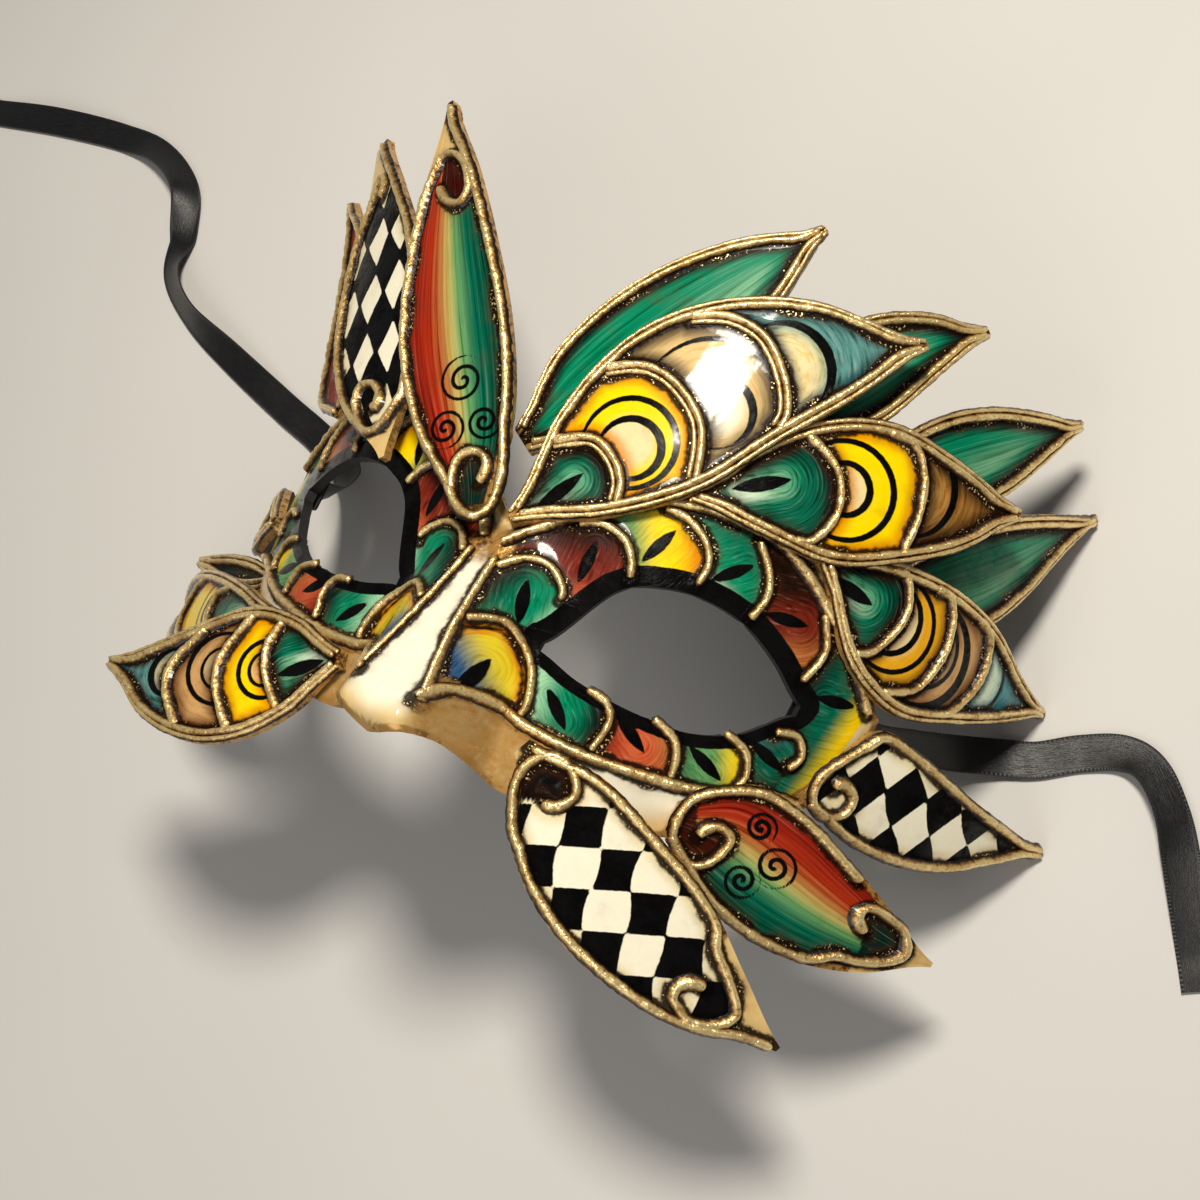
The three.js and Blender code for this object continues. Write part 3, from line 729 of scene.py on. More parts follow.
def nose_height(arc, rise):
    """How far the nose stands out of the head form."""
    down = np.clip((NOSE_TOP - rise) / (NOSE_TOP - NOSE_TIP), 0, 1)
    half = NOSE_HALF_WIDTH + NOSE_HALF_GROWTH * down
    across = 1 - ease(0, NOSE_SIDE, np.abs(arc) - half)
    under = 1 - NOSE_UNDER_FALL * ease(0, NOSE_UNDER, NOSE_UNDER_START - rise)
    return NOSE_STAND * down**NOSE_CURVE * across * under


def on_head(arc, rise, height):
    """Points of the flat drawing bent over the head form, raised by a height, in the row frame in metres."""
    radius = HEAD_RADIUS - rise**2 / (2 * FACE_BULGE_RADIUS) + nose_height(arc, rise) + height
    turn = arc / HEAD_RADIUS
    x = radius * np.sin(turn) + SHIFT_X
    y = rise + SHIFT_Y
    z = AXIS_HEIGHT + radius * np.cos(turn)
    return np.stack([x, y, np.maximum(z, 0)], axis=1) * MM


def smooth_line(points, count):
    """A smooth line of count points through a table's points."""
    table = np.array(points, float)
    at = np.linspace(0, len(table) - 1, count)
    start = np.minimum(at.astype(int), len(table) - 2)
    part = (at - start)[:, None]
    before = table[np.maximum(start - 1, 0)]
    here = table[start]
    after = table[start + 1]
    beyond = table[np.minimum(start + 2, len(table) - 1)]
    leave = (after - before) / 2
    arrive = (beyond - here) / 2
    cubed = (2 * here - 2 * after + leave + arrive) * part**3
    squared = (3 * after - 3 * here - 2 * leave - arrive) * part**2
    return cubed + squared + leave * part + here


def even_line(line, step):
    """The line again, with its points about a step apart."""
    runs = np.linalg.norm(np.diff(line, axis=0), axis=1)
    along = np.concatenate([[0], np.cumsum(runs)])
    at = np.linspace(0, along[-1], max(LEAST_POINTS, round(along[-1] / step) + 1))
    return np.stack([np.interp(at, along, column) for column in line.T], axis=1)


def drawn_line(points, samples, step):
    """A smooth even line through a table's points."""
    return even_line(smooth_line(points, samples * len(points)), step)


def smooth_edge(rises, part):
    """The rise of a smooth edge through rises at even steps; part runs from 0 to 1."""
    samples = EDGE_SAMPLES * len(rises)
    line = smooth_line(np.reshape(rises, (-1, 1)), samples)[:, 0]
    return np.interp(part, np.linspace(0, 1, samples), line)


def lumps(count, step, length, seed):
    """Soft ups and downs along a hand-laid line, from -1 to 1."""
    random = np.random.default_rng(seed)
    knots = max(LEAST_KNOTS, math.ceil(count * step / length) + SPARE_KNOTS)
    values = random.uniform(-1, 1, (knots, 1))
    return smooth_line(values, count)[:, 0]


def distance_to(points, line):
    """How far flat points lie from the nearest point of a flat line."""
    nearest = np.full(len(points), np.inf)
    for spot in line:
        nearest = np.minimum(nearest, np.hypot(points[:, 0] - spot[0], points[:, 1] - spot[1]))
    return nearest


def foot_distance(points, lines):
    """How far flat points lie from the nearest cord's foot; a line comes with its cord's width."""
    nearest = np.full(len(points), np.inf)
    for line, width, *_ in lines:
        nearest = np.minimum(nearest, np.abs(distance_to(points, line) - width / 2))
    return nearest


def pooled_paint(corner):
    """The height of the paint that pools along the cords."""
    return POOL_HEIGHT * np.exp(-corner / POOL_REACH)


def inside(points, outline):
    """Which flat points lie inside a closed outline."""
    within = np.zeros(len(points), bool)
    corners = np.array(outline, float)
    for (arc, rise), (next_arc, next_rise) in zip(corners, np.roll(corners, -1, axis=0)):
        if rise == next_rise:
            continue
        passed = (points[:, 1] > rise) != (points[:, 1] > next_rise)
        meet = arc + (points[:, 1] - rise) / (next_rise - rise) * (next_arc - arc)
        within ^= passed & (points[:, 0] < meet)
    return within


def points_of(piece):
    """A mesh's points as rows of x, y and z."""
    places = np.zeros(len(piece.data.vertices) * 3)
    piece.data.vertices.foreach_get("co", places)
    return places.reshape(-1, 3)


def move_points(piece, places):
    """Puts a mesh's points in their places."""
    piece.data.vertices.foreach_set("co", np.ascontiguousarray(places, dtype=np.float32).ravel())
    piece.data.update()


def give(piece, name, values, kind="FLOAT"):
    """Keeps a value, colour or vector at each point of a mesh for its material."""
    field = {"FLOAT": "value", "FLOAT_VECTOR": "vector", "FLOAT_COLOR": "color"}[kind]
    made = piece.data.attributes.new(name, kind, "POINT")
    made.data.foreach_set(field, np.ascontiguousarray(values, dtype=np.float32).ravel())


def new_grid(name, columns, rows):
    """A flat grid to be shaped, with each point's part across and along it."""
    bpy.ops.object.select_all(action="DESELECT")
    bpy.ops.mesh.primitive_grid_add(x_subdivisions=columns, y_subdivisions=rows, size=2)
    piece = bpy.context.object
    piece.name = name
    piece.data.name = name
    flat = points_of(piece)
    return piece, (flat[:, 0] + 1) / 2, (flat[:, 1] + 1) / 2


def choose(pieces):
    """Selects only these pieces and makes the first the active one."""
    bpy.ops.object.select_all(action="DESELECT")
    for piece in pieces:
        piece.select_set(True)
    bpy.context.view_layer.objects.active = pieces[0]


def close_seams(piece):
    """Joins the points that meet and turns the faces outwards."""
    choose([piece])
    bpy.ops.object.mode_set(mode="EDIT")
    bpy.ops.mesh.select_all(action="SELECT")
    bpy.ops.mesh.remove_doubles(threshold=MM * MERGE_DISTANCE)
    bpy.ops.mesh.normals_make_consistent(inside=False)
    bpy.ops.object.mode_set(mode="OBJECT")


def apply_modifier(piece, kind, settings):
    """Adds a modifier and applies it."""
    choose([piece])
    modifier = piece.modifiers.new(kind.lower(), kind)
    for name, value in settings.items():
        setattr(modifier, name, value)
    bpy.ops.object.modifier_apply(modifier=modifier.name)


def smooth_faces(piece, degrees):
    """Smooth shading, with a crease where faces meet at more than an angle."""
    choose([piece])
    bpy.ops.object.shade_smooth_by_angle(angle=math.radians(degrees))


# A sheet's materials past its front
LINING_SLOT = 1
EDGE_SLOT = 2


def thicken(piece, wall, materials):
    """Gives a sheet its wall, with materials for its front, back and edge."""
    for material in materials:
        piece.data.materials.append(material)
    apply_modifier(piece, "SOLIDIFY", {
        "thickness": wall * MM,
        "offset": -1,
        "material_offset": LINING_SLOT,
        "material_offset_rim": EDGE_SLOT,
    })
    places = points_of(piece)
    places[:, 2] = np.maximum(places[:, 2], 0)
    move_points(piece, places)
    smooth_faces(piece, SHEET_CREASE)


def settle(piece, node):
    """A finished piece takes its node's place on the mask."""
    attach(piece, "root")
    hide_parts(node)


def square_to(line):
    """Unit steps square to a flat line, to its left as it runs."""
    run = np.gradient(line, axis=0)
    run = run / np.linalg.norm(run, axis=1)[:, None]
    return np.stack([-run[:, 1], run[:, 0]], axis=1)


def piped_cord(name, line, width, place, seed, bulbs=(False, False)):
    """A hand-piped cord along a flat line: a grid rolled up, with lumps, round ends and bulbs if wanted."""
    count = len(line)
    step = np.mean(np.linalg.norm(np.diff(line, axis=0), axis=1))
    square = square_to(line)
    piece, around, along = new_grid(name, CORD_SIDES, count - 1)
    row = np.rint(along * (count - 1)).astype(int)
    wide = 1 + CORD_LUMP * lumps(count, step, LUMP_LENGTH, seed)
    wide += CORD_GRAIN * lumps(count, step, GRAIN_LENGTH, seed + 1)
    high = 1 + CORD_LUMP * lumps(count, step, LUMP_LENGTH, seed + 2)
    high += CORD_GRAIN * lumps(count, step, GRAIN_LENGTH, seed + 3)
    for bulb, away in zip(bulbs, (np.arange(count) * step, np.arange(count)[::-1] * step)):
        wide += bulb * BULB * np.exp(-((away / BULB_LENGTH - 1) ** 2))
    reach = np.minimum(np.arange(count), np.arange(count)[::-1]) * step / (width / 2)
    swell = np.sqrt(1 - (1 - np.minimum(reach, 1)) ** 2)
    turn = around * 2 * math.pi
    up = np.sin(turn)
    foot = 1 + CORD_FOOT * (1 - np.abs(up)) ** 2
    side = np.cos(turn) * foot * (wide * swell)[row] * width / 2
    tall = RELIEF * width * (high * swell)[row]
    height = np.where(up > 0, up * tall, up * CORD_SINK * swell[row])
    flat = line[row] + square[row] * side[:, None]
    move_points(piece, place(flat[:, 0], flat[:, 1], height))
    give(piece, "crown", np.clip(up, 0, 1))
    close_seams(piece)
    return piece


def joined_cords(name, cords):
    """Several cords as one piece with the gold finish."""
    choose(cords)
    bpy.ops.object.join()
    piece = bpy.context.object
    piece.name = name
    piece.data.materials.clear()
    piece.data.materials.append(GOLD)
    smooth_faces(piece, CORD_CREASE)
    return piece


def beside_mark(points, centre, tilt):
    """How far flat points lie along and across a mark; tilt in degrees from the first axis."""
    turn = math.radians(tilt)
    away = points - np.array(centre)
    along = away[:, 0] * math.cos(turn) + away[:, 1] * math.sin(turn)
    across = away[:, 1] * math.cos(turn) - away[:, 0] * math.sin(turn)
    return along, across


def lens(points, centre, tilt, half_length, half_width):
    """An inked leaf mark as a field in millimetres, plus inside it."""
    along, across = beside_mark(points, centre, tilt)
    reach = np.clip(1 - (along / half_length) ** 2, -1, 1)
    return half_width * reach - np.abs(across)


def off_mark(points, centre, tilt, half_length):
    """How far flat points lie from a mark's own middle line."""
    along, across = beside_mark(points, centre, tilt)
    return np.hypot(along - np.clip(along, -half_length, half_length), across)


# Spirals: turns, line width, and the thinning of the line, which begins at a part of the radius
SPIRAL_TURNS = 2.2
SPIRAL_WIDTH = 0.8
SPIRAL_THINNING = 0.3
SPIRAL_THIN_FROM = 0.4


def spiral(points, centre, radius, first_angle, hand):
    """An inked spiral line as a field in millimetres, plus on the line."""
    x = points[:, 0] - centre[0]
    y = points[:, 1] - centre[1]
    distance = np.hypot(x, y)
    angle = (hand * np.arctan2(y, x) - math.radians(first_angle)) / (2 * math.pi)
    pitch = radius / SPIRAL_TURNS
    turn = distance / pitch - angle
    off = np.abs(turn - np.rint(turn)) * pitch
    thin = SPIRAL_WIDTH * (1 - SPIRAL_THINNING * ease(radius * SPIRAL_THIN_FROM, radius, distance))
    return np.minimum(thin / 2 - off, radius - distance)


def checks(points, origin, first_side, second_side):
    """A checker of slanted checks as a field in millimetres, plus in the dark ones; the first one is dark."""
    sides = np.array([first_side, second_side]).T
    steps = np.linalg.solve(sides, (points - np.array(origin)).T)
    area = abs(np.linalg.det(sides))
    depths = np.array([area / np.hypot(*second_side), area / np.hypot(*first_side)])
    to_line = np.abs(steps - np.rint(steps)) * depths[:, None]
    light = np.floor(steps).sum(axis=0) % 2
    return to_line.min(axis=0) * (1 - 2 * light)


# The ink field's value far from any mark
NO_INK = -5


def no_ink(count):
    """An ink field without a mark."""
    return np.full(count, float(NO_INK))


class Leaf:
    """One leaf's drawing: its edges, its cords and the bend from the flat drawing into space."""

    def __init__(self, row):
        self.name, self.base_arc, self.base_rise, tip_arc, tip_rise, self.lift, *rest = row
        self.layer, self.painting, self.slot = rest
        self.left_edge, self.right_edge = LEAF_EDGES[self.name]
        self.rim_width = RIM_WIDTH if self.painting in BEADED else BROAD_RIM_WIDTH
        self.rim_inset = RIM_INSET if self.painting in BEADED else BROAD_RIM_INSET
        if tip_arc == ON_FLOOR:
            form_radius = HEAD_RADIUS - tip_rise**2 / (2 * FACE_BULGE_RADIUS)
            tip_radius = form_radius + self.layer + self.lift + LEAF_WALL / 2
            turn = math.acos((-FLOOR_TRIM - AXIS_HEIGHT) / tip_radius)
            tip_arc = math.copysign(HEAD_RADIUS * turn, self.base_arc)
        self.run = (tip_arc - self.base_arc, tip_rise - self.base_rise)
        self.length = math.hypot(*self.run)

    def left(self, part):
        return smooth_edge(self.left_edge, part)

    def right(self, part):
        return -smooth_edge(self.right_edge, part)

    def place(self, across, along, height):
        """Points of the leaf's own drawing in space; height is over its underside."""
        part = along / self.length
        arc = self.base_arc + part * self.run[0] - across * self.run[1] / self.length
        rise = self.base_rise + part * self.run[1] + across * self.run[0] / self.length
        lifted = self.layer + self.lift * np.maximum(part, 0) ** LIFT_POWER
        return on_head(arc, rise, lifted + height)

    def on_front(self, across, along, height):
        """Points over the leaf's painted front."""
        return self.place(across, along, LEAF_WALL + height)

    def cord_across(self, side, part, inset):
        """Where a cord along one side's edge runs."""
        left = self.left(part)
        right = self.right(part)
        middle = (left + right) / 2
        if side == "left":
            return np.maximum(left - inset, middle + RIM_OPENING)
        return np.minimum(right + inset, middle - RIM_OPENING)

    def drawn(self, points):
        """A smooth even line through points given as across and part of the length."""
        table = np.array(points) * np.array([1, self.length])
        return drawn_line(table, LEAF_SAMPLES, CORD_STEP)

    def rim_line(self, side):
        """The middle line of one side's rim cord, with the curls at its ends."""
        first, base = CURLS.get((self.name, side, "base"), (RIM_FIRST, []))
        last, tip = CURLS.get((self.name, side, "tip"), (RIM_LAST, []))
        count = max(LEAST_RIM_POINTS, round((last - first) * self.length / RIM_STEP))
        parts = np.linspace(first, last, count)
        edge = list(zip(self.cord_across(side, parts, self.rim_inset), parts))
        return self.drawn(base[::-1] + edge + tip), (len(base) > 0, len(tip) > 0)

    def bar_line(self, bar):
        """The middle line of a bar, which ends in the rim cords."""
        across, part = np.array(bar, float).T
        left = self.cord_across("left", part, self.rim_inset)
        right = self.cord_across("right", part, self.rim_inset)
        across[0] = left[0]
        across[-1] = right[-1]
        return self.drawn(list(zip(np.clip(across, right, left), part)))

    def bead_line(self, side):
        """The middle line of the thin bead along one side's very edge."""
        parts = np.linspace(0, 1, round(self.length / RIM_STEP))
        return self.drawn(list(zip(self.cord_across(side, parts, BEAD_INSET), parts)))

    def lines(self):
        """The middle lines of all cords, each with its width and whether its ends have bulbs."""
        plain = (False, False)
        found = []
        for side in ("left", "right"):
            line, bulbs = self.rim_line(side)
            found.append((line, self.rim_width, bulbs))
            if self.painting in BEADED:
                found.append((self.bead_line(side), BEAD_WIDTH, plain))
        for bar in BARS.get(self.name, []):
            line = self.bar_line(bar)
            found.append((line, LINE_WIDTH, (True, False)))
            if self.name in DOUBLE_BARS:
                found.append((line + BAR_BEAD_GAP * square_to(line), BEAD_WIDTH, plain))
        return found


# Cells of the wing leaves past the green drop, from the base to the tip
WING_CELLS = {
    "wing_upper": ("yellow", "ivory", "teal"),
    "wing_middle": ("yellow", "brown"),
    "wing_lower": ("amber", "tan", "sky"),
    "low_wing_front": ("yellow", "tan", "teal"),
    "low_wing_middle": ("yellow", "teal"),
    "low_wing_rear": ("yellow", "teal"),
}

# The leaf mark in the green drop. Columns: across, part of the length, length, tilt in degrees
WING_MARKS = {
    "wing_upper": (0.3, 0.119, 10.9, 76),
    "wing_middle": (1.9, 0.202, 10.6, 79),
    "wing_lower": (-3.7, 0.117, 9.2, 92),
    "low_wing_front": (0.9, 0.167, 10.2, 75),
    "low_wing_middle": (2, 0.17, 9, 80),
    "low_wing_rear": (0, 0.18, 8, 85),
}
MARK_HALF_WIDTH = 1.3
MARK_CORE = 0.6

# The green drop: reaches in millimetres over which its tones change, and how its right side is told
DROP_RIGHT = (-2, 3.5)
DROP_SLANT = 0.35
HALO_REACH = 3.6
HALO_LEAST = 0.25
DROP_JADE = (2, 5)
DROP_DEEP = (0.2, 4.6)
DROP_BLACK = (0.4, 2.4)
DROP_RIM_SHIFT = 1.2
DROP_STROKES = 2.6

# Inked arcs in those cells. Columns: centre across, centre as a part of the length, radius, width, thinning
WING_ARCS = {
    "wing_upper": [
        [(2.3, 0.3, 5.4, 1.5, 0.1), (3.3, 0.304, 8.1, 1.2, 0.08)],
        [(2.5, 0.5, 6.5, 1.5, 0.3), (3.7, 0.5, 12.1, 1.2, 0.15)],
        [(4.9, 0.673, 8.4, 1.8, 0.35)],
    ],
    "wing_middle": [
        [(1.7, 0.437, 4.5, 1.3, 0.1), (1.5, 0.441, 8.5, 1.2, 0.08)],
        [(2.9, 0.626, 8.8, 1.4, 0.3)],
    ],
    "wing_lower": [
        [(-3.9, 0.255, 6.1, 1.2, 0.1), (-4.5, 0.274, 8.2, 1, 0.06)],
        [(-4.7, 0.401, 6.9, 0.9, 0.1), (-5.4, 0.405, 9.4, 1.8, 0.25)],
        [(-2.9, 0.633, 5.9, 0.9, 0.2)],
    ],
    "low_wing_front": [
        [(1, 0.318, 3.2, 0.8, 0.1), (1, 0.318, 5.4, 1, 0.05)],
        [(1, 0.5, 4, 0.7, 0.1), (1, 0.5, 6.8, 1, 0.1)],
        [(2, 0.7, 4.6, 1.4, 0.3)],
    ],
    "low_wing_middle": [
        [(2, 0.36, 3.6, 1, 0.1), (2, 0.36, 6, 0.8, 0.05)],
        [(2, 0.6, 5, 1.3, 0.3)],
    ],
    "low_wing_rear": [
        [(0, 0.42, 3.2, 1, 0.1), (0, 0.42, 5.2, 0.8, 0.05)],
        [(0, 0.68, 4, 1.2, 0.3)],
    ],
}
THINNEST = 0.25

# Paint of a cell within its first arc, beyond it and by its rim, how far the last one reaches in,
# and how strongly the brush shows
CELL_PAINTS = {
    "yellow": (CREAM, LEMON, AMBER, 3.4, 0.25),
    "amber": (CREAM, SAFFRON, BROWN, 2.6, 0.3),
    "ivory": (IVORY, BUFF, UMBER, 4.2, 0.5),
    "tan": (CREAM, TAN, BROWN, 3.4, 0.5),
    "teal": (CREAM, PALE_TEAL, DEEP_TEAL, 2.8, 0.9),
    "sky": (PALE_MINT, SKY, TEAL, 2.6, 0.9),
    "brown": (OCHRE, DARK_OCHRE, BLACK, 4, 0.7),
}
CELL_CORE = (0.6, 1.1)
CELL_RIM_START = 0.1
CELL_STROKES_OUT = 1.6
CELL_STROKES_ROUND = 2.2


def drop_painting(points, mark, corner):
    """A green drop: pale on the mark's right, deep green by the rim."""
    across, along, half_length, tilt = mark
    ink = lens(points, (across, along), tilt, half_length, MARK_HALF_WIDTH)
    away_across = points[:, 0] - across
    away_along = points[:, 1] - along
    right_of_mark = ease(*DROP_RIGHT, -away_across - DROP_SLANT * away_along)
    band = off_mark(points, (across, along), tilt, half_length * MARK_CORE)
    halo = 1 - ease(MARK_HALF_WIDTH, HALO_REACH, band)
    halo = halo * (HALO_LEAST + (1 - HALO_LEAST) * right_of_mark)
    from_rim = corner + DROP_RIM_SHIFT * right_of_mark
    paint = tinted(EMERALD, JADE, 1 - ease(*DROP_JADE, band))
    paint = tinted(paint, tinted(MINT, PALE_MINT, right_of_mark), halo)
    paint = tinted(DEEP_GREEN, paint, ease(*DROP_DEEP, from_rim))
    paint = tinted(BLACK, paint, ease(*DROP_BLACK, from_rim))
    turn = np.arctan2(away_along, away_across)
    stroke = np.stack([band * DROP_STROKES, np.cos(turn), np.sin(turn)], axis=1)
    return paint, ink, stroke, np.ones(len(points))


def cell_painting(points, kind, arcs, length, corner):
    """A banded cell of a wing leaf with its inked arcs."""
    near, middle, rim_paint, rim_reach, brush = CELL_PAINTS[kind]
    ink = no_ink(len(points))
    for centre_across, centre_part, radius, width, thinning in arcs:
        away = points - np.array([centre_across, centre_part * length])
        distance = np.hypot(away[:, 0], away[:, 1])
        angle = np.arctan2(away[:, 0], away[:, 1])
        thin = width * np.maximum(1 - thinning * angle**2, THINNEST)
        ink = np.maximum(ink, thin / 2 - np.abs(distance - radius))
    # The paint and its strokes run round the last arc's centre
    first_radius = arcs[0][2]
    paint = tinted(near, middle, ease(*CELL_CORE, distance / first_radius))
    paint = tinted(rim_paint, paint, ease(CELL_RIM_START, rim_reach, corner))
    out = distance * CELL_STROKES_OUT
    stroke = np.stack([out, angle * CELL_STROKES_ROUND, np.full(len(points), first_radius)], axis=1)
    return paint, ink, stroke, np.full(len(points), brush)


def wing_painting(leaf, points, over, corner):
    """Scales of a wing leaf: a green drop, then banded cells with inked arcs, then the tip."""
    part = points[:, 1] / leaf.length
    cell = np.zeros(len(part), int)
    for bar in BARS[leaf.name]:
        across, crossing = np.array(bar)[::-1].T
        cell += part > np.interp(points[:, 0], across, crossing)
    mark_across, mark_part, mark_length, tilt = WING_MARKS[leaf.name]
    mark = (mark_across, mark_part * leaf.length, mark_length / 2, tilt)
    painting = drop_painting(points, mark, corner)
    cells = zip(WING_CELLS[leaf.name], WING_ARCS[leaf.name])
    for number, (kind, arcs) in enumerate(cells, start=1):
        here = cell == number
        tones = cell_painting(points, kind, arcs, leaf.length, corner)
        for kept, fresh in zip(painting, tones):
            kept[here] = fresh[here]
    return painting


# Feathers: the dark rim's reach in millimetres, then ranges over that rim, across the feather and along it
FEATHER_RIM = (0, 5)
FEATHER_JADE = (0.05, 0.55)
FEATHER_PALE_RIM = (0.45, 1)
FEATHER_PALE_ACROSS = (0.35, 0.7)
FEATHER_PALE_ALONG = (0.25, 0.6)
FEATHER_PALE_SHARE = 0.6
FEATHER_STROKES_ACROSS = 30
FEATHER_STROKES_ALONG = 2.2


def feather_painting(leaf, points, over, corner):
    """A feather brushed along its length, green by the rim and pale down the middle."""
    part = points[:, 1] / leaf.length
    rim = ease(*FEATHER_RIM, corner)
    paint = tinted(DEEP_GREEN, JADE, ease(*FEATHER_JADE, rim))
    pale = ease(*FEATHER_PALE_RIM, rim) * ease(*FEATHER_PALE_ACROSS, over) * ease(*FEATHER_PALE_ALONG, part)
    paint = tinted(paint, MINT, pale * FEATHER_PALE_SHARE)
    along = part * FEATHER_STROKES_ALONG
    stroke = np.stack([over * FEATHER_STROKES_ACROSS, along, np.zeros(len(part))], axis=1)
    return paint, no_ink(len(part)), stroke, np.ones(len(part))


# Inked spirals. Columns: centre across, centre as a part of the length, radius, first angle, hand
SPIRALS = {
    "cheek_shaded_leaf": [(8.1, 0.29, 2.8, 40, 1), (-1.2, 0.31, 3.2, 200, -1), (3.3, 0.39, 3.8, 90, 1)],
    "crest_shaded_leaf": [(1.3, 0.29, 4.6, 30, 1), (5.2, 0.188, 3.9, 200, 1), (-2.2, 0.186, 3.5, 120, -1)],
}

# Shading over a leaf, from the left edge to the right one
SHADING = [
    (0, DARK_RED), (0.14, RED), (0.3, ORANGE), (0.4, RUST), (0.49, OLIVE), (0.58, LEAF_GREEN), (0.7, EMERALD),
    (1, DEEP_GREEN),
]
RED_SHADING = [(0, DARK_RED), (0.3, RED), (0.6, ORANGE), (1, DARK_RED)]
SHADED_STROKES_ACROSS = 34
SHADED_STROKES_ALONG = 1.6

# Where a leaf's painting ends at the bare tip or base. Columns: across, part of the length
BARE_TIPS = {
    "cheek_checker_leaf": [
        (-8, 0.81), (-5.4, 0.849), (-2.3, 0.866), (-0.6, 0.847), (1.1, 0.794), (3.1, 0.706),
    ],
    "cheek_shaded_leaf": [(-5, 0.76), (-2.8, 0.855), (-0.2, 0.895), (2.9, 0.864), (3.9, 0.807)],
    "crest_shaded_leaf": [(-2.6, 0.86), (0.4, 0.85), (2.7, 0.85), (4.3, 0.829)],
    "crest_checker_leaf": [(-1.3, 0.86), (0.3, 0.855), (1.6, 0.835), (3, 0.805), (4.4, 0.775)],
}
BARE_BASES = {
    "cheek_checker_leaf": [(-9.8, 0.155), (-6.7, 0.095), (-4.1, 0.061), (-0.8, 0.047), (2.6, 0.05), (6, 0)],
    "crest_checker_leaf": [(-3.6, 0.147), (0.6, 0.093), (4.8, 0.095), (8.8, 0.164)],
}


def bareness(leaf, points):
    """Which points lie on a leaf's bare tip or base."""
    part = points[:, 1] / leaf.length
    bare = np.zeros(len(part), bool)
    for tables, sign in ((BARE_TIPS, 1), (BARE_BASES, -1)):
        if leaf.name in tables:
            across, limit = np.array(tables[leaf.name]).T
            bare |= sign * (part - np.interp(points[:, 0], across, limit)) > 0
    return bare


# Paint inside a rim cord's curl, whose outline starts at the curl's second point
CURL_FILLS = {
    ("cheek_checker_leaf", "right", "base"): BLACK,
    ("cheek_shaded_leaf", "left", "base"): DARK_RED,
    ("cheek_shaded_leaf", "right", "tip"): DEEP_GREEN,
    ("crest_shaded_leaf", "right", "base"): DEEP_GREEN,
    ("crest_shaded_leaf", "left", "tip"): DARK_RED,
}
FILL_FIRST_POINT = 1


def fill_curls(leaf, points, paint, ink):
    """Paints the round fields that the curls enclose."""
    for key, fill in CURL_FILLS.items():
        if key[0] == leaf.name:
            outline = np.array(CURLS[key][1][FILL_FIRST_POINT:]) * np.array([1, leaf.length])
            within = inside(points, outline)
            paint[within] = fill
            ink[within] = NO_INK


def shaded_painting(leaf, points, over, corner):
    """A leaf shaded from red over straw to green, with inked spirals and a bare tip."""
    part = points[:, 1] / leaf.length
    table = RED_SHADING if leaf.slot == "red" else SHADING
    stops = np.array([stop for stop, paint in table])
    paints = np.array([paint for stop, paint in table])
    paint = np.stack([np.interp(over, stops, shares) for shares in paints.T], axis=1)
    paint[bareness(leaf, points)] = BUFF
    ink = no_ink(len(part))
    for across, centre_part, radius, first_angle, hand in SPIRALS.get(leaf.name, []):
        line = spiral(points, (across, centre_part * leaf.length), radius, first_angle, hand)
        ink = np.maximum(ink, line)
    fill_curls(leaf, points, paint, ink)
    along = part * SHADED_STROKES_ALONG
    stroke = np.stack([over * SHADED_STROKES_ACROSS, along, np.ones(len(part))], axis=1)
    return paint, ink, stroke, np.ones(len(part))


# Checkers. Columns: a corner of a dark check, its two sides as across and along, the dark checks' spread
CHECKERS = {
    "cheek_checker_leaf": ((-0.6, 21.1), (4.85, 4.4), (-5.4, 4.2), 0),
    "temple_checker_leaf": ((4.6, 14.8), (5.4, 4.7), (-5.6, 3), 0.1),
    "crest_checker_leaf": ((0, 36), (-2.3, -6.65), (4.7, -6), 0.45),
}

# The hand's waver over the checks, along and across the leaf. Columns: reach, waves, shift
WAVER_ALONG = (0.25, 0.5, 0)
WAVER_ACROSS = (0.2, 0.7, 1)
CHECK_IVORY = (0, 3)
CHECK_STROKES = 0.5
CHECK_STROKE_SEED = 2.0
CHECK_BRUSH = 0.25


def waver(distance, table):
    """How far a hand-painted line wavers at a distance along it."""
    reach, waves, shift = table
    return reach * np.sin(distance * waves + shift)


def checker_painting(leaf, points, over, corner):
    """A leaf of black and ivory checks, with a bare tip or base."""
    count = len(points)
    shaken = points + (waver(points[:, 1], WAVER_ALONG) + waver(points[:, 0], WAVER_ACROSS))[:, None]
    *lattice, spread = CHECKERS[leaf.name]
    bare = bareness(leaf, points)
    ink = np.where(bare, NO_INK, checks(shaken, *lattice) + spread)
    paint = tinted(CREAM, IVORY, ease(*CHECK_IVORY, corner))
    paint[bare] = BUFF
    fill_curls(leaf, points, paint, ink)
    stroke = np.column_stack([points * CHECK_STROKES, np.full(count, CHECK_STROKE_SEED)])
    return paint, ink, stroke, np.full(count, CHECK_BRUSH)


PAINTINGS = {
    "wing": wing_painting,
    "feather": feather_painting,
    "shaded": shaded_painting,
    "checker": checker_painting,
}
FINE_PAINTINGS = ("shaded", "wing")
EDGE_SOFTNESS = 0.3


def give_painting(sheet, painting, corner, gilt):
    """Keeps a sheet's painting on its points for the material."""
    paint, ink, stroke, brush = painting
    give(sheet, "paint", np.column_stack([paint, np.ones(len(paint))]), "FLOAT_COLOR")
    give(sheet, "ink", ink)
    give(sheet, "stroke", stroke, "FLOAT_VECTOR")
    give(sheet, "corner", corner)
    give(sheet, "gilt", gilt)
    give(sheet, "brush", brush)


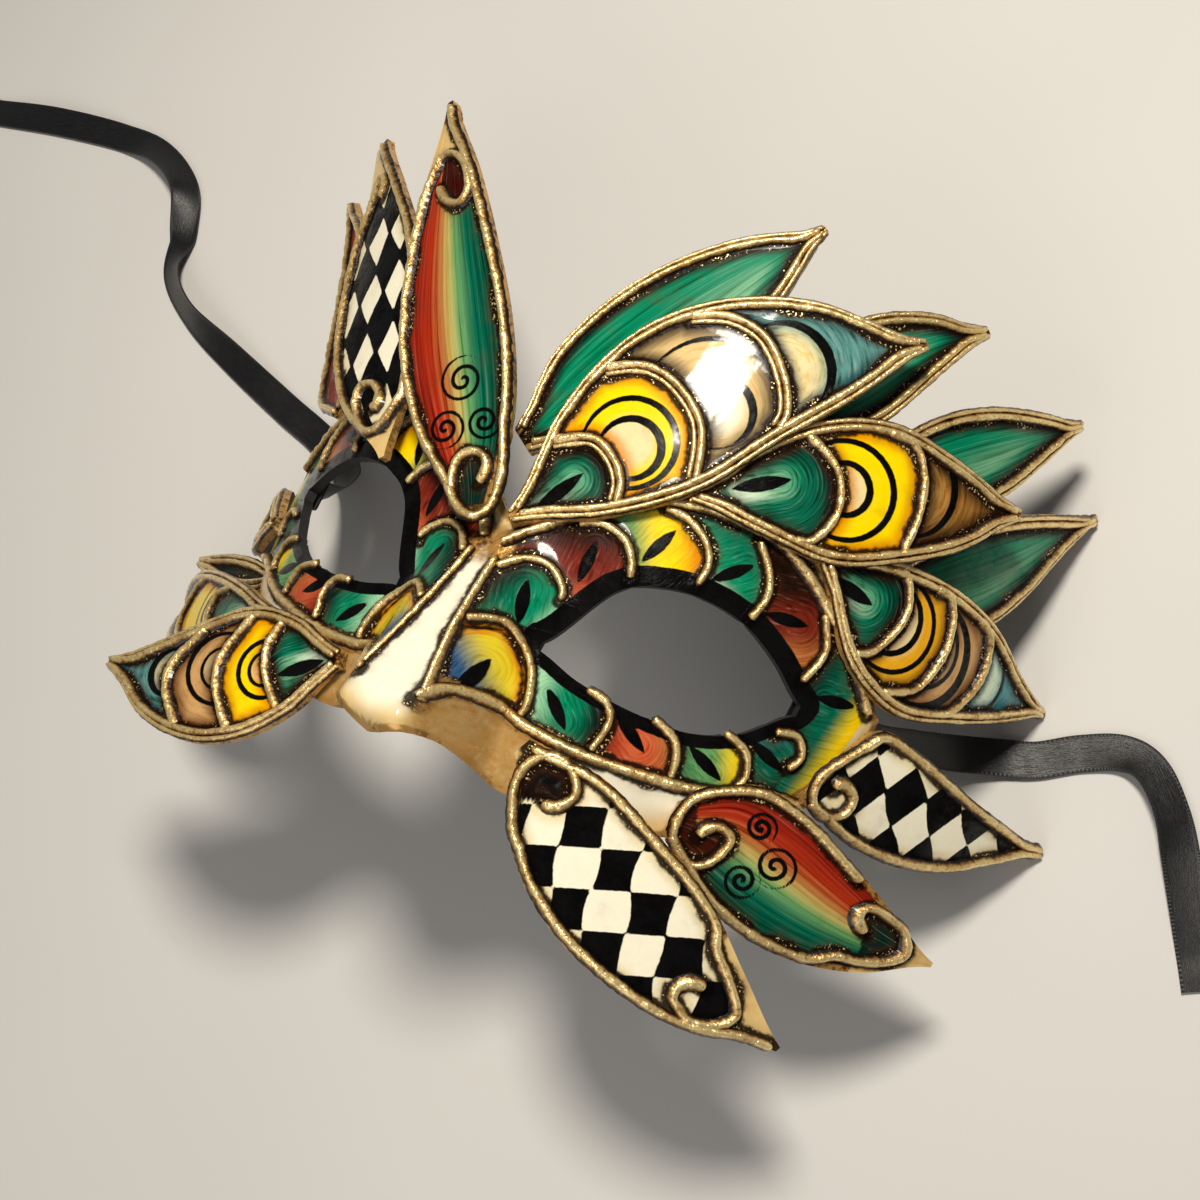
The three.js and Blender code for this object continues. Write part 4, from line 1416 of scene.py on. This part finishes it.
def make_leaf(leaf, seed):
    """One leaf: its painted sheet and the raised cords on it."""
    step = FINE_SHEET_STEP if leaf.painting in FINE_PAINTINGS else SHEET_STEP
    samples = np.linspace(0, 1, WIDTH_SAMPLES)
    columns = round((leaf.left(samples) - leaf.right(samples)).max() / step)
    rows = round(leaf.length / step)
    sheet, over, part = new_grid(leaf.name + "_sheet", columns, rows)
    left = leaf.left(part)
    right = leaf.right(part)
    points = np.stack([left + (right - left) * over, part * leaf.length], axis=1)
    lines = leaf.lines()
    corner = foot_distance(points, lines)
    margin = np.minimum(left - points[:, 0], points[:, 0] - right)
    gilt = 1 - ease(leaf.rim_inset - EDGE_SOFTNESS, leaf.rim_inset, margin)
    gilt[bareness(leaf, points)] = 0
    painting = PAINTINGS[leaf.painting](leaf, points, over, corner)
    move_points(sheet, leaf.on_front(points[:, 0], points[:, 1], pooled_paint(corner)))
    give_painting(sheet, painting, corner, gilt)
    thicken(sheet, LEAF_WALL, [PAINTED, LINING, EDGE])
    settle(sheet, leaf.name)
    cords = []
    for number, (line, width, bulbs) in enumerate(lines):
        name = f"{leaf.name}_line_{number}"
        cord_seed = seed + CORD_SEED_STEP * number
        cords.append(piped_cord(name, line, width, leaf.on_front, cord_seed, bulbs))
    relief = joined_cords(leaf.name + "_relief", cords)
    settle(relief, leaf.name + "_cord")


# Scales round the eye, from the nose outwards. Columns: arc and rise of the inked mark, its tilt in degrees,
# three paints in a row over the scale, the angle in degrees at which that row runs, its shift along that way
BROW_CELLS = [
    (9.7, -6.8, 105, (DEEP_GREEN, JADE, MINT), -20, 0),
    (16.3, 4.2, 92, (UMBER, BRICK, SALMON), -70, 0),
    (26.1, 11.8, 69, (LEAF_GREEN, LEMON, AMBER), 30, 0),
    (39.4, 13.3, 45, (EMERALD, JADE, IVORY), -110, 0.2),
    (51.4, 10.4, 11, (UMBER, CLAY, RUST), -68, 0.1),
    (66.3, 2, 13, (DEEP_GREEN, EMERALD, LEMON), -10, 0.2),
]
CHEEK_CELLS = [
    (9.2, -22, 80, (BLUE, SOFT_YELLOW, AMBER), 45, -0.6),
    (22.7, -20.6, -41, (MINT, JADE, DEEP_GREEN), 11, 0),
    (35.8, -18.8, -28, (RED, SALMON, RUST), 28, 0),
    (49.6, -17.7, -20, (EMERALD, LEAF_GREEN, LEMON), 28, 0.2),
    (58.9, -11.8, -15, (TEAL, EMERALD, DEEP_GREEN), -60, 0),
]
SCALE_MARK_LENGTH = 4.2
SCALE_MARK_WIDTH = 1.1
SCALE_SPAN = 6
SCALE_SECOND = (-0.9, 0.15)
SCALE_THIRD = (0.35, 1.2)
SCALE_STROKES = 2.2
SCALE_BRUSH = 0.7
OFF_SCALES = -1
FAR_ABOVE = 40
FAR_BELOW = -45

# The ring beside the nose: an inner line in the nose's scale, and the amber beyond it
RING_LINE_GAP = 1.7
RING_LINE_WIDTH = 0.5
RING_AMBER = 3.6

# Plain parts of the face: gilded by the nostrils, on the bridge and along the edge, aged towards the edge
NOSTRIL_ARC = 23
NOSTRIL_FADE = 5
NOSTRIL_INNER_FADE = 7.5
NOSTRIL_GILT = 0.65
NOSTRIL_TOP = CHEEK_LINE[2][1]
BRIDGE_REACH = 5
BRIDGE_GILT = 0.8
SHELL_GILT = 1.2
AGED_REACH = 6
FACE_STROKES = 0.6
EYE_RIM_CHANGE = (-4, 2)


def closed_outline(first_arc, last_arc, upper_rises, lower_rises, count):
    """A closed flat line along an upper edge and back along a lower one."""
    part = np.linspace(0, 1, count)
    arc = first_arc + (last_arc - first_arc) * part
    upper = np.stack([arc, smooth_edge(upper_rises, part)], axis=1)
    lower = np.stack([arc, smooth_edge(lower_rises, part)], axis=1)
    return np.concatenate([upper, lower[::-1], upper[:1]])


EYE_OUTLINE = closed_outline(EYE_INNER_ARC, EYE_OUTER_ARC, EYE_UPPER, EYE_LOWER, EYE_POINTS)
HALF_OUTLINE = closed_outline(0, SHELL_HALF_ARC, SHELL_UPPER, SHELL_LOWER, HALF_POINTS)


def reach_of(outline, angles):
    """How far a closed outline lies from the eye's centre at each angle."""
    away = even_line(outline, REACH_STEP) - np.array(EYE_CENTRE)
    turn = np.arctan2(away[:, 1], away[:, 0])
    order = np.argsort(turn)
    distance = np.hypot(away[:, 0], away[:, 1])[order]
    return np.interp(angles, turn[order], distance, period=2 * math.pi)


def corner_angles():
    """Angles at which the outlines of the shell and the eye have their corners."""
    corners = np.array([
        (0, SHELL_UPPER[0]), (0, SHELL_LOWER[0]),
        (SHELL_HALF_ARC, SHELL_UPPER[-1]), (SHELL_HALF_ARC, SHELL_LOWER[-1]),
        (EYE_INNER_ARC, EYE_UPPER[0]), (EYE_INNER_ARC, EYE_LOWER[0]),
        (EYE_OUTER_ARC, EYE_UPPER[-1]), (EYE_OUTER_ARC, EYE_LOWER[-1]),
    ]) - np.array(EYE_CENTRE)
    return np.arctan2(corners[:, 1], corners[:, 0])


def scale_number(points, scales, far):
    """Each point's scale, counted from the nose; far is a rise beyond this side's scales."""
    number = np.zeros(len(points), int)
    for scale in scales:
        line = smooth_line(scale, SCALE_POINTS)
        at_cord = line[0] if far > 0 else line[-1]
        closing = [EYE_CENTRE, (0, EYE_LOWER[0]), (0, far), (at_cord[0], far)]
        outline = np.concatenate([line, closing if far > 0 else closing[::-1]])
        number += ~inside(points, outline)
    return number


def scale_of(points, eye_middle):
    """Each point's row in the tables of scales, brow then cheek, or OFF_SCALES."""
    outline = np.concatenate([
        smooth_line(BROW_LINE, MAIN_LINE_POINTS),
        smooth_line(CHEEK_LINE, MAIN_LINE_POINTS)[::-1],
        smooth_line(NOSE_LINE, NOSE_POINTS)[::-1],
    ])
    upper = points[:, 1] > eye_middle
    brow_number = scale_number(points, BROW_SCALES, FAR_ABOVE)
    cheek_number = scale_number(points, [NOSE_RING, *CHEEK_SCALES], FAR_BELOW)
    number = np.where(upper, brow_number, len(BROW_CELLS) + cheek_number)
    number[~upper & (cheek_number == len(CHEEK_CELLS))] = len(BROW_CELLS) - 1
    return np.where(inside(points, outline), number, OFF_SCALES)


def nostril_share(arc):
    """1 on the mottled gold patch by the nostril, 0 on the nose's ridge and out on the cheek."""
    inwards = 1 - ease(NOSTRIL_ARC, NOSTRIL_ARC + NOSTRIL_FADE, arc)
    return inwards * ease(NOSTRIL_FADE, NOSTRIL_INNER_FADE, arc)


def ringed(points, paint):
    """The paint of the nose's scale, with amber and a brown line along its ring."""
    gap = distance_to(points, even_line(smooth_line(NOSE_RING, NOSE_POINTS), OUTLINE_STEP))
    paint = tinted(AMBER, paint, ease(RING_LINE_GAP, RING_AMBER, gap))
    off_line = ease(RING_LINE_WIDTH / 2, RING_LINE_WIDTH, np.abs(gap - RING_LINE_GAP))
    return tinted(UMBER, paint, off_line)


def shell_painting(arc, rise, rim, margin):
    """The face: scales round the eye, a gilded nose, aged ivory edges and a black rim round the eye."""
    points = np.stack([arc, rise], axis=1)
    eye_part = np.clip((arc - EYE_INNER_ARC) / (EYE_OUTER_ARC - EYE_INNER_ARC), 0, 1)
    eye_middle = (smooth_edge(EYE_UPPER, eye_part) + smooth_edge(EYE_LOWER, eye_part)) / 2
    number = scale_of(points, eye_middle)
    paint = tinted(BUFF, IVORY, ease(SHELL_GILT, AGED_REACH, margin))
    paint = tinted(paint, BUFF, nostril_share(arc))
    ink = no_ink(len(arc))
    stroke = np.stack([arc * FACE_STROKES, rise * FACE_STROKES, np.zeros(len(arc))], axis=1)
    for index, (mark_arc, mark_rise, tilt, paints, angle, shift) in enumerate(BROW_CELLS + CHEEK_CELLS):
        here = number == index
        turn = math.radians(angle)
        away_arc = arc[here] - mark_arc
        away_rise = rise[here] - mark_rise
        run = (away_arc * math.cos(turn) + away_rise * math.sin(turn)) / SCALE_SPAN + shift
        tone = tinted(paints[0], paints[1], ease(*SCALE_SECOND, run))
        paint[here] = tinted(tone, paints[2], ease(*SCALE_THIRD, run))
        ink[here] = lens(points[here], (mark_arc, mark_rise), tilt, SCALE_MARK_LENGTH, SCALE_MARK_WIDTH)
        around_mark = np.arctan2(away_rise, away_arc)
        band = off_mark(points[here], (mark_arc, mark_rise), tilt, SCALE_MARK_LENGTH * MARK_CORE)
        out = band * SCALE_STROKES + index
        stroke[here] = np.stack([out, np.cos(around_mark), np.sin(around_mark)], axis=1)
    nose_scale = number == len(BROW_CELLS)
    paint[nose_scale] = ringed(points[nose_scale], paint[nose_scale])
    upper_share = ease(*EYE_RIM_CHANGE, rise - eye_middle)
    rim_width = LOWER_RIM_WIDTH + (EYE_RIM_WIDTH - LOWER_RIM_WIDTH) * upper_share
    ink = np.maximum(ink, rim_width - rim)
    return paint, ink, stroke, np.where(number == OFF_SCALES, nostril_share(arc), SCALE_BRUSH)


def shell_lines():
    """The middle lines of the cords on the shell's right half, brow then cheek, each with its width."""
    brow = [(BROW_LINE, MAIN_WIDTH)] + [(line, LINE_WIDTH) for line in BROW_SCALES]
    cheek = [(CHEEK_LINE, MAIN_WIDTH), (NOSE_LINE, NOSE_LINE_WIDTH)]
    cheek += [(line, LINE_WIDTH) for line in [NOSE_RING, *CHEEK_SCALES]]
    return {
        name: [(drawn_line(line, SHELL_SAMPLES, CORD_STEP), width) for line, width in group]
        for name, group in (("brow", brow), ("cheek", cheek))
    }


def face_up(sheet):
    """Turns a sheet's faces so that its painted side looks up."""
    normals = np.zeros(len(sheet.data.polygons) * 3)
    sheet.data.polygons.foreach_get("normal", normals)
    if normals.reshape(-1, 3)[:, 2].sum() < 0:
        choose([sheet])
        bpy.ops.object.mode_set(mode="EDIT")
        bpy.ops.mesh.select_all(action="SELECT")
        bpy.ops.mesh.flip_normals()
        bpy.ops.object.mode_set(mode="OBJECT")


def blacken_eye_holes(shell):
    """Gives the edge faces of the eye holes the lining's black, known by the inked rim beside them."""
    ink = np.zeros(len(shell.data.vertices))
    shell.data.attributes["ink"].data.foreach_get("value", ink)
    for face in shell.data.polygons:
        if face.material_index == EDGE_SLOT and ink[face.vertices[0]] > 0:
            face.material_index = LINING_SLOT


def flat_shell():
    """The shell's flat sheet: rings from the right eye hole out to the edge, and their mirror image."""
    shell, turn, ring = new_grid("face_shell_sheet", SHELL_TURNS, SHELL_RINGS)
    corners = corner_angles()
    even = np.linspace(-math.pi, math.pi, SHELL_TURNS + 1 - len(corners))
    angles = np.sort(np.concatenate([even, corners]))
    at = angles[np.rint(turn * SHELL_TURNS).astype(int)]
    inner = reach_of(EYE_OUTLINE, at)
    outer = reach_of(HALF_OUTLINE, at)
    distance = inner + (outer - inner) * ring
    arc = EYE_CENTRE[0] + distance * np.cos(at)
    arc = np.where(arc < MIRROR_SNAP, 0, arc)
    rise = EYE_CENTRE[1] + distance * np.sin(at)
    move_points(shell, np.stack([arc, rise, np.zeros(len(arc))], axis=1))
    close_seams(shell)
    apply_modifier(shell, "MIRROR", {"use_axis": (True, False, False), "merge_threshold": MIRROR_MERGE})
    return shell


def shell_gilding(half_arc, rise, margin):
    """How much gold lies on the face: along its edge, by the nostrils and on the bridge."""
    edge = 1 - ease(SHELL_GILT - EDGE_SOFTNESS, SHELL_GILT, margin)
    nostril = NOSTRIL_GILT * nostril_share(half_arc) * (rise < NOSTRIL_TOP)
    bridge = BRIDGE_GILT * (1 - ease(BRIDGE_REACH / 2, BRIDGE_REACH, np.hypot(half_arc, rise)))
    return np.maximum(np.maximum(edge, nostril), bridge)


def make_shell():
    """The papier-mache face with its eye holes, painted in front and lined behind."""
    shell = flat_shell()
    arc, rise, _ = points_of(shell).T
    half_arc = np.abs(arc)
    half_points = np.stack([half_arc, rise], axis=1)
    rim = distance_to(half_points, even_line(EYE_OUTLINE, OUTLINE_STEP))
    margin = distance_to(half_points, even_line(HALF_OUTLINE[:-1], OUTLINE_STEP))
    corner = foot_distance(half_points, [cord for group in shell_lines().values() for cord in group])
    painting = shell_painting(half_arc, rise, rim, margin)
    move_points(shell, on_head(arc, rise, pooled_paint(corner)))
    give_painting(shell, painting, corner, shell_gilding(half_arc, rise, margin))
    face_up(shell)
    thicken(shell, SHELL_WALL, [PAINTED, LINING, EDGE])
    blacken_eye_holes(shell)
    settle(shell, "face_shell")


def mirrored(arc, rise, height):
    """Points of the right half's drawing, on the left half of the face."""
    return on_head(-arc, rise, height)


def make_shell_cords():
    """The raised cords of the shell, each side's brow and cheek."""
    for hand, place in (("right", on_head), ("left", mirrored)):
        for name, group in shell_lines().items():
            cords = []
            for number, (line, width) in enumerate(group):
                cord_seed = SHELL_SEED + CORD_SEED_STEP * number
                cords.append(piped_cord(f"{name}_{hand}_{number}", line, width, place, cord_seed))
            relief = joined_cords(f"{name}_cord_{hand}_relief", cords)
            settle(relief, f"{name}_cord_{hand}")


def make_ribbon(name, table):
    """A satin ribbon along its table, twisting as it lies."""
    route = drawn_line(table, ROUTE_SAMPLES, RIBBON_STEP)
    roll = np.radians(route[:, 3])
    centre = route[:, :3] + np.array([SHIFT_X, SHIFT_Y, 0])
    centre[:, 2] += np.abs(np.sin(roll)) * RIBBON_WIDTH / 2
    run = np.gradient(centre, axis=0)
    run /= np.linalg.norm(run, axis=1)[:, None]
    level = np.stack([run[:, 1], -run[:, 0], np.zeros(len(run))], axis=1)
    level /= np.linalg.norm(level, axis=1)[:, None]
    out = np.cross(level, run)
    width_way = level * np.cos(roll)[:, None] + out * np.sin(roll)[:, None]
    face_way = np.cross(width_way, run)
    piece, over, part = new_grid(name + "_satin", RIBBON_COLUMNS, len(route) - 1)
    row = np.rint(part * (len(route) - 1)).astype(int)
    off_middle = over - 1 / 2
    side = off_middle * RIBBON_WIDTH
    selvedge = ease(*SELVEDGE, np.abs(off_middle))
    lift = RIBBON_THICKNESS / 2 + SELVEDGE_HEIGHT * selvedge
    places = centre[row] + width_way[row] * side[:, None] + face_way[row] * lift[:, None]
    move_points(piece, places * MM)
    along = row * RIBBON_STEP * THREADS_ALONG
    thread = np.stack([side * THREADS_ACROSS, along, np.zeros(len(row))], axis=1)
    give(piece, "thread", thread, "FLOAT_VECTOR")
    give(piece, "selvedge", selvedge)
    face_up(piece)
    thicken(piece, RIBBON_THICKNESS, [SATIN, SATIN, SATIN])
    settle(piece, name)


# Camera: its place, the image's right and up, and a lens that sees the photograph's angle
CAMERA_PLACE = (155.5, -43.4, 346.9)
CAMERA_RIGHT = (0.832, 0.443, -0.335)
CAMERA_UP = (-0.362, 0.890, 0.276)
CAMERA_SENSOR = 36
CAMERA_LENS = 55.4
CAMERA_NEAR = 0.01


def add_to_scene(name, data, right, up, place):
    """A camera or a lamp in its place, turned to its own right and up."""
    added = bpy.data.objects.new(name, data)
    bpy.context.scene.collection.objects.link(added)
    turned = np.eye(4)
    turned[:3, :3] = np.stack([right, up, np.cross(right, up)], axis=1)
    turned[:3, 3] = np.array(place) * MM
    added.matrix_world = Matrix(turned.tolist())
    return added


def make_camera():
    """The camera at the photograph's angle."""
    lens_data = bpy.data.cameras.new("camera")
    lens_data.sensor_width = CAMERA_SENSOR
    lens_data.lens = CAMERA_LENS
    lens_data.clip_start = CAMERA_NEAR
    right = np.array(CAMERA_RIGHT) / np.linalg.norm(CAMERA_RIGHT)
    up = np.array(CAMERA_UP) - right * np.dot(right, CAMERA_UP)
    up /= np.linalg.norm(up)
    bpy.context.scene.camera = add_to_scene("camera", lens_data, right, up, CAMERA_PLACE)


# Lights. Columns: name, place, size, power in watts, colour
LIGHTS = [
    ("key", (46, 205, 535), 130, 3.0, (1.0, 0.93, 0.82)),
    ("front", (60, -420, 380), 420, 0.8, (1.0, 0.97, 0.93)),
]
WORLD_STRENGTH = 0.1
FLOOR_SIZE = 6


def make_stage():
    """A pale floor, soft lights and an even grey surround."""
    bpy.ops.object.select_all(action="DESELECT")
    bpy.ops.mesh.primitive_plane_add(size=FLOOR_SIZE)
    floor = bpy.context.object
    floor.name = "floor"
    floor.data.materials.append(floor_finish())
    for name, place, size, power, colour in LIGHTS:
        lamp = bpy.data.lights.new(name, "AREA")
        lamp.shape = "DISK"
        lamp.size = size * MM
        lamp.energy = power
        lamp.color = colour
        back = np.array(place) / np.linalg.norm(place)
        side = np.cross((0, 0, 1), back)
        side /= np.linalg.norm(side)
        add_to_scene(name, lamp, side, np.cross(back, side), place)
    world = bpy.data.worlds.new("surround")
    world.use_nodes = True
    world.node_tree.nodes["Background"].inputs["Strength"].default_value = WORLD_STRENGTH
    world.node_tree.nodes["Background"].inputs["Color"].default_value = (1, 1, 1, 1)
    bpy.context.scene.world = world
    bpy.context.scene.view_settings.view_transform = "Standard"


make_camera()
for ribbon_name, ribbon_table in RIBBONS.items():
    make_ribbon(ribbon_name, ribbon_table)
make_shell()
make_shell_cords()
for leaf_number, leaf_row in enumerate(LEAVES):
    make_leaf(Leaf(leaf_row), LEAF_SEED + LEAF_SEED_STEP * leaf_number)
make_stage()
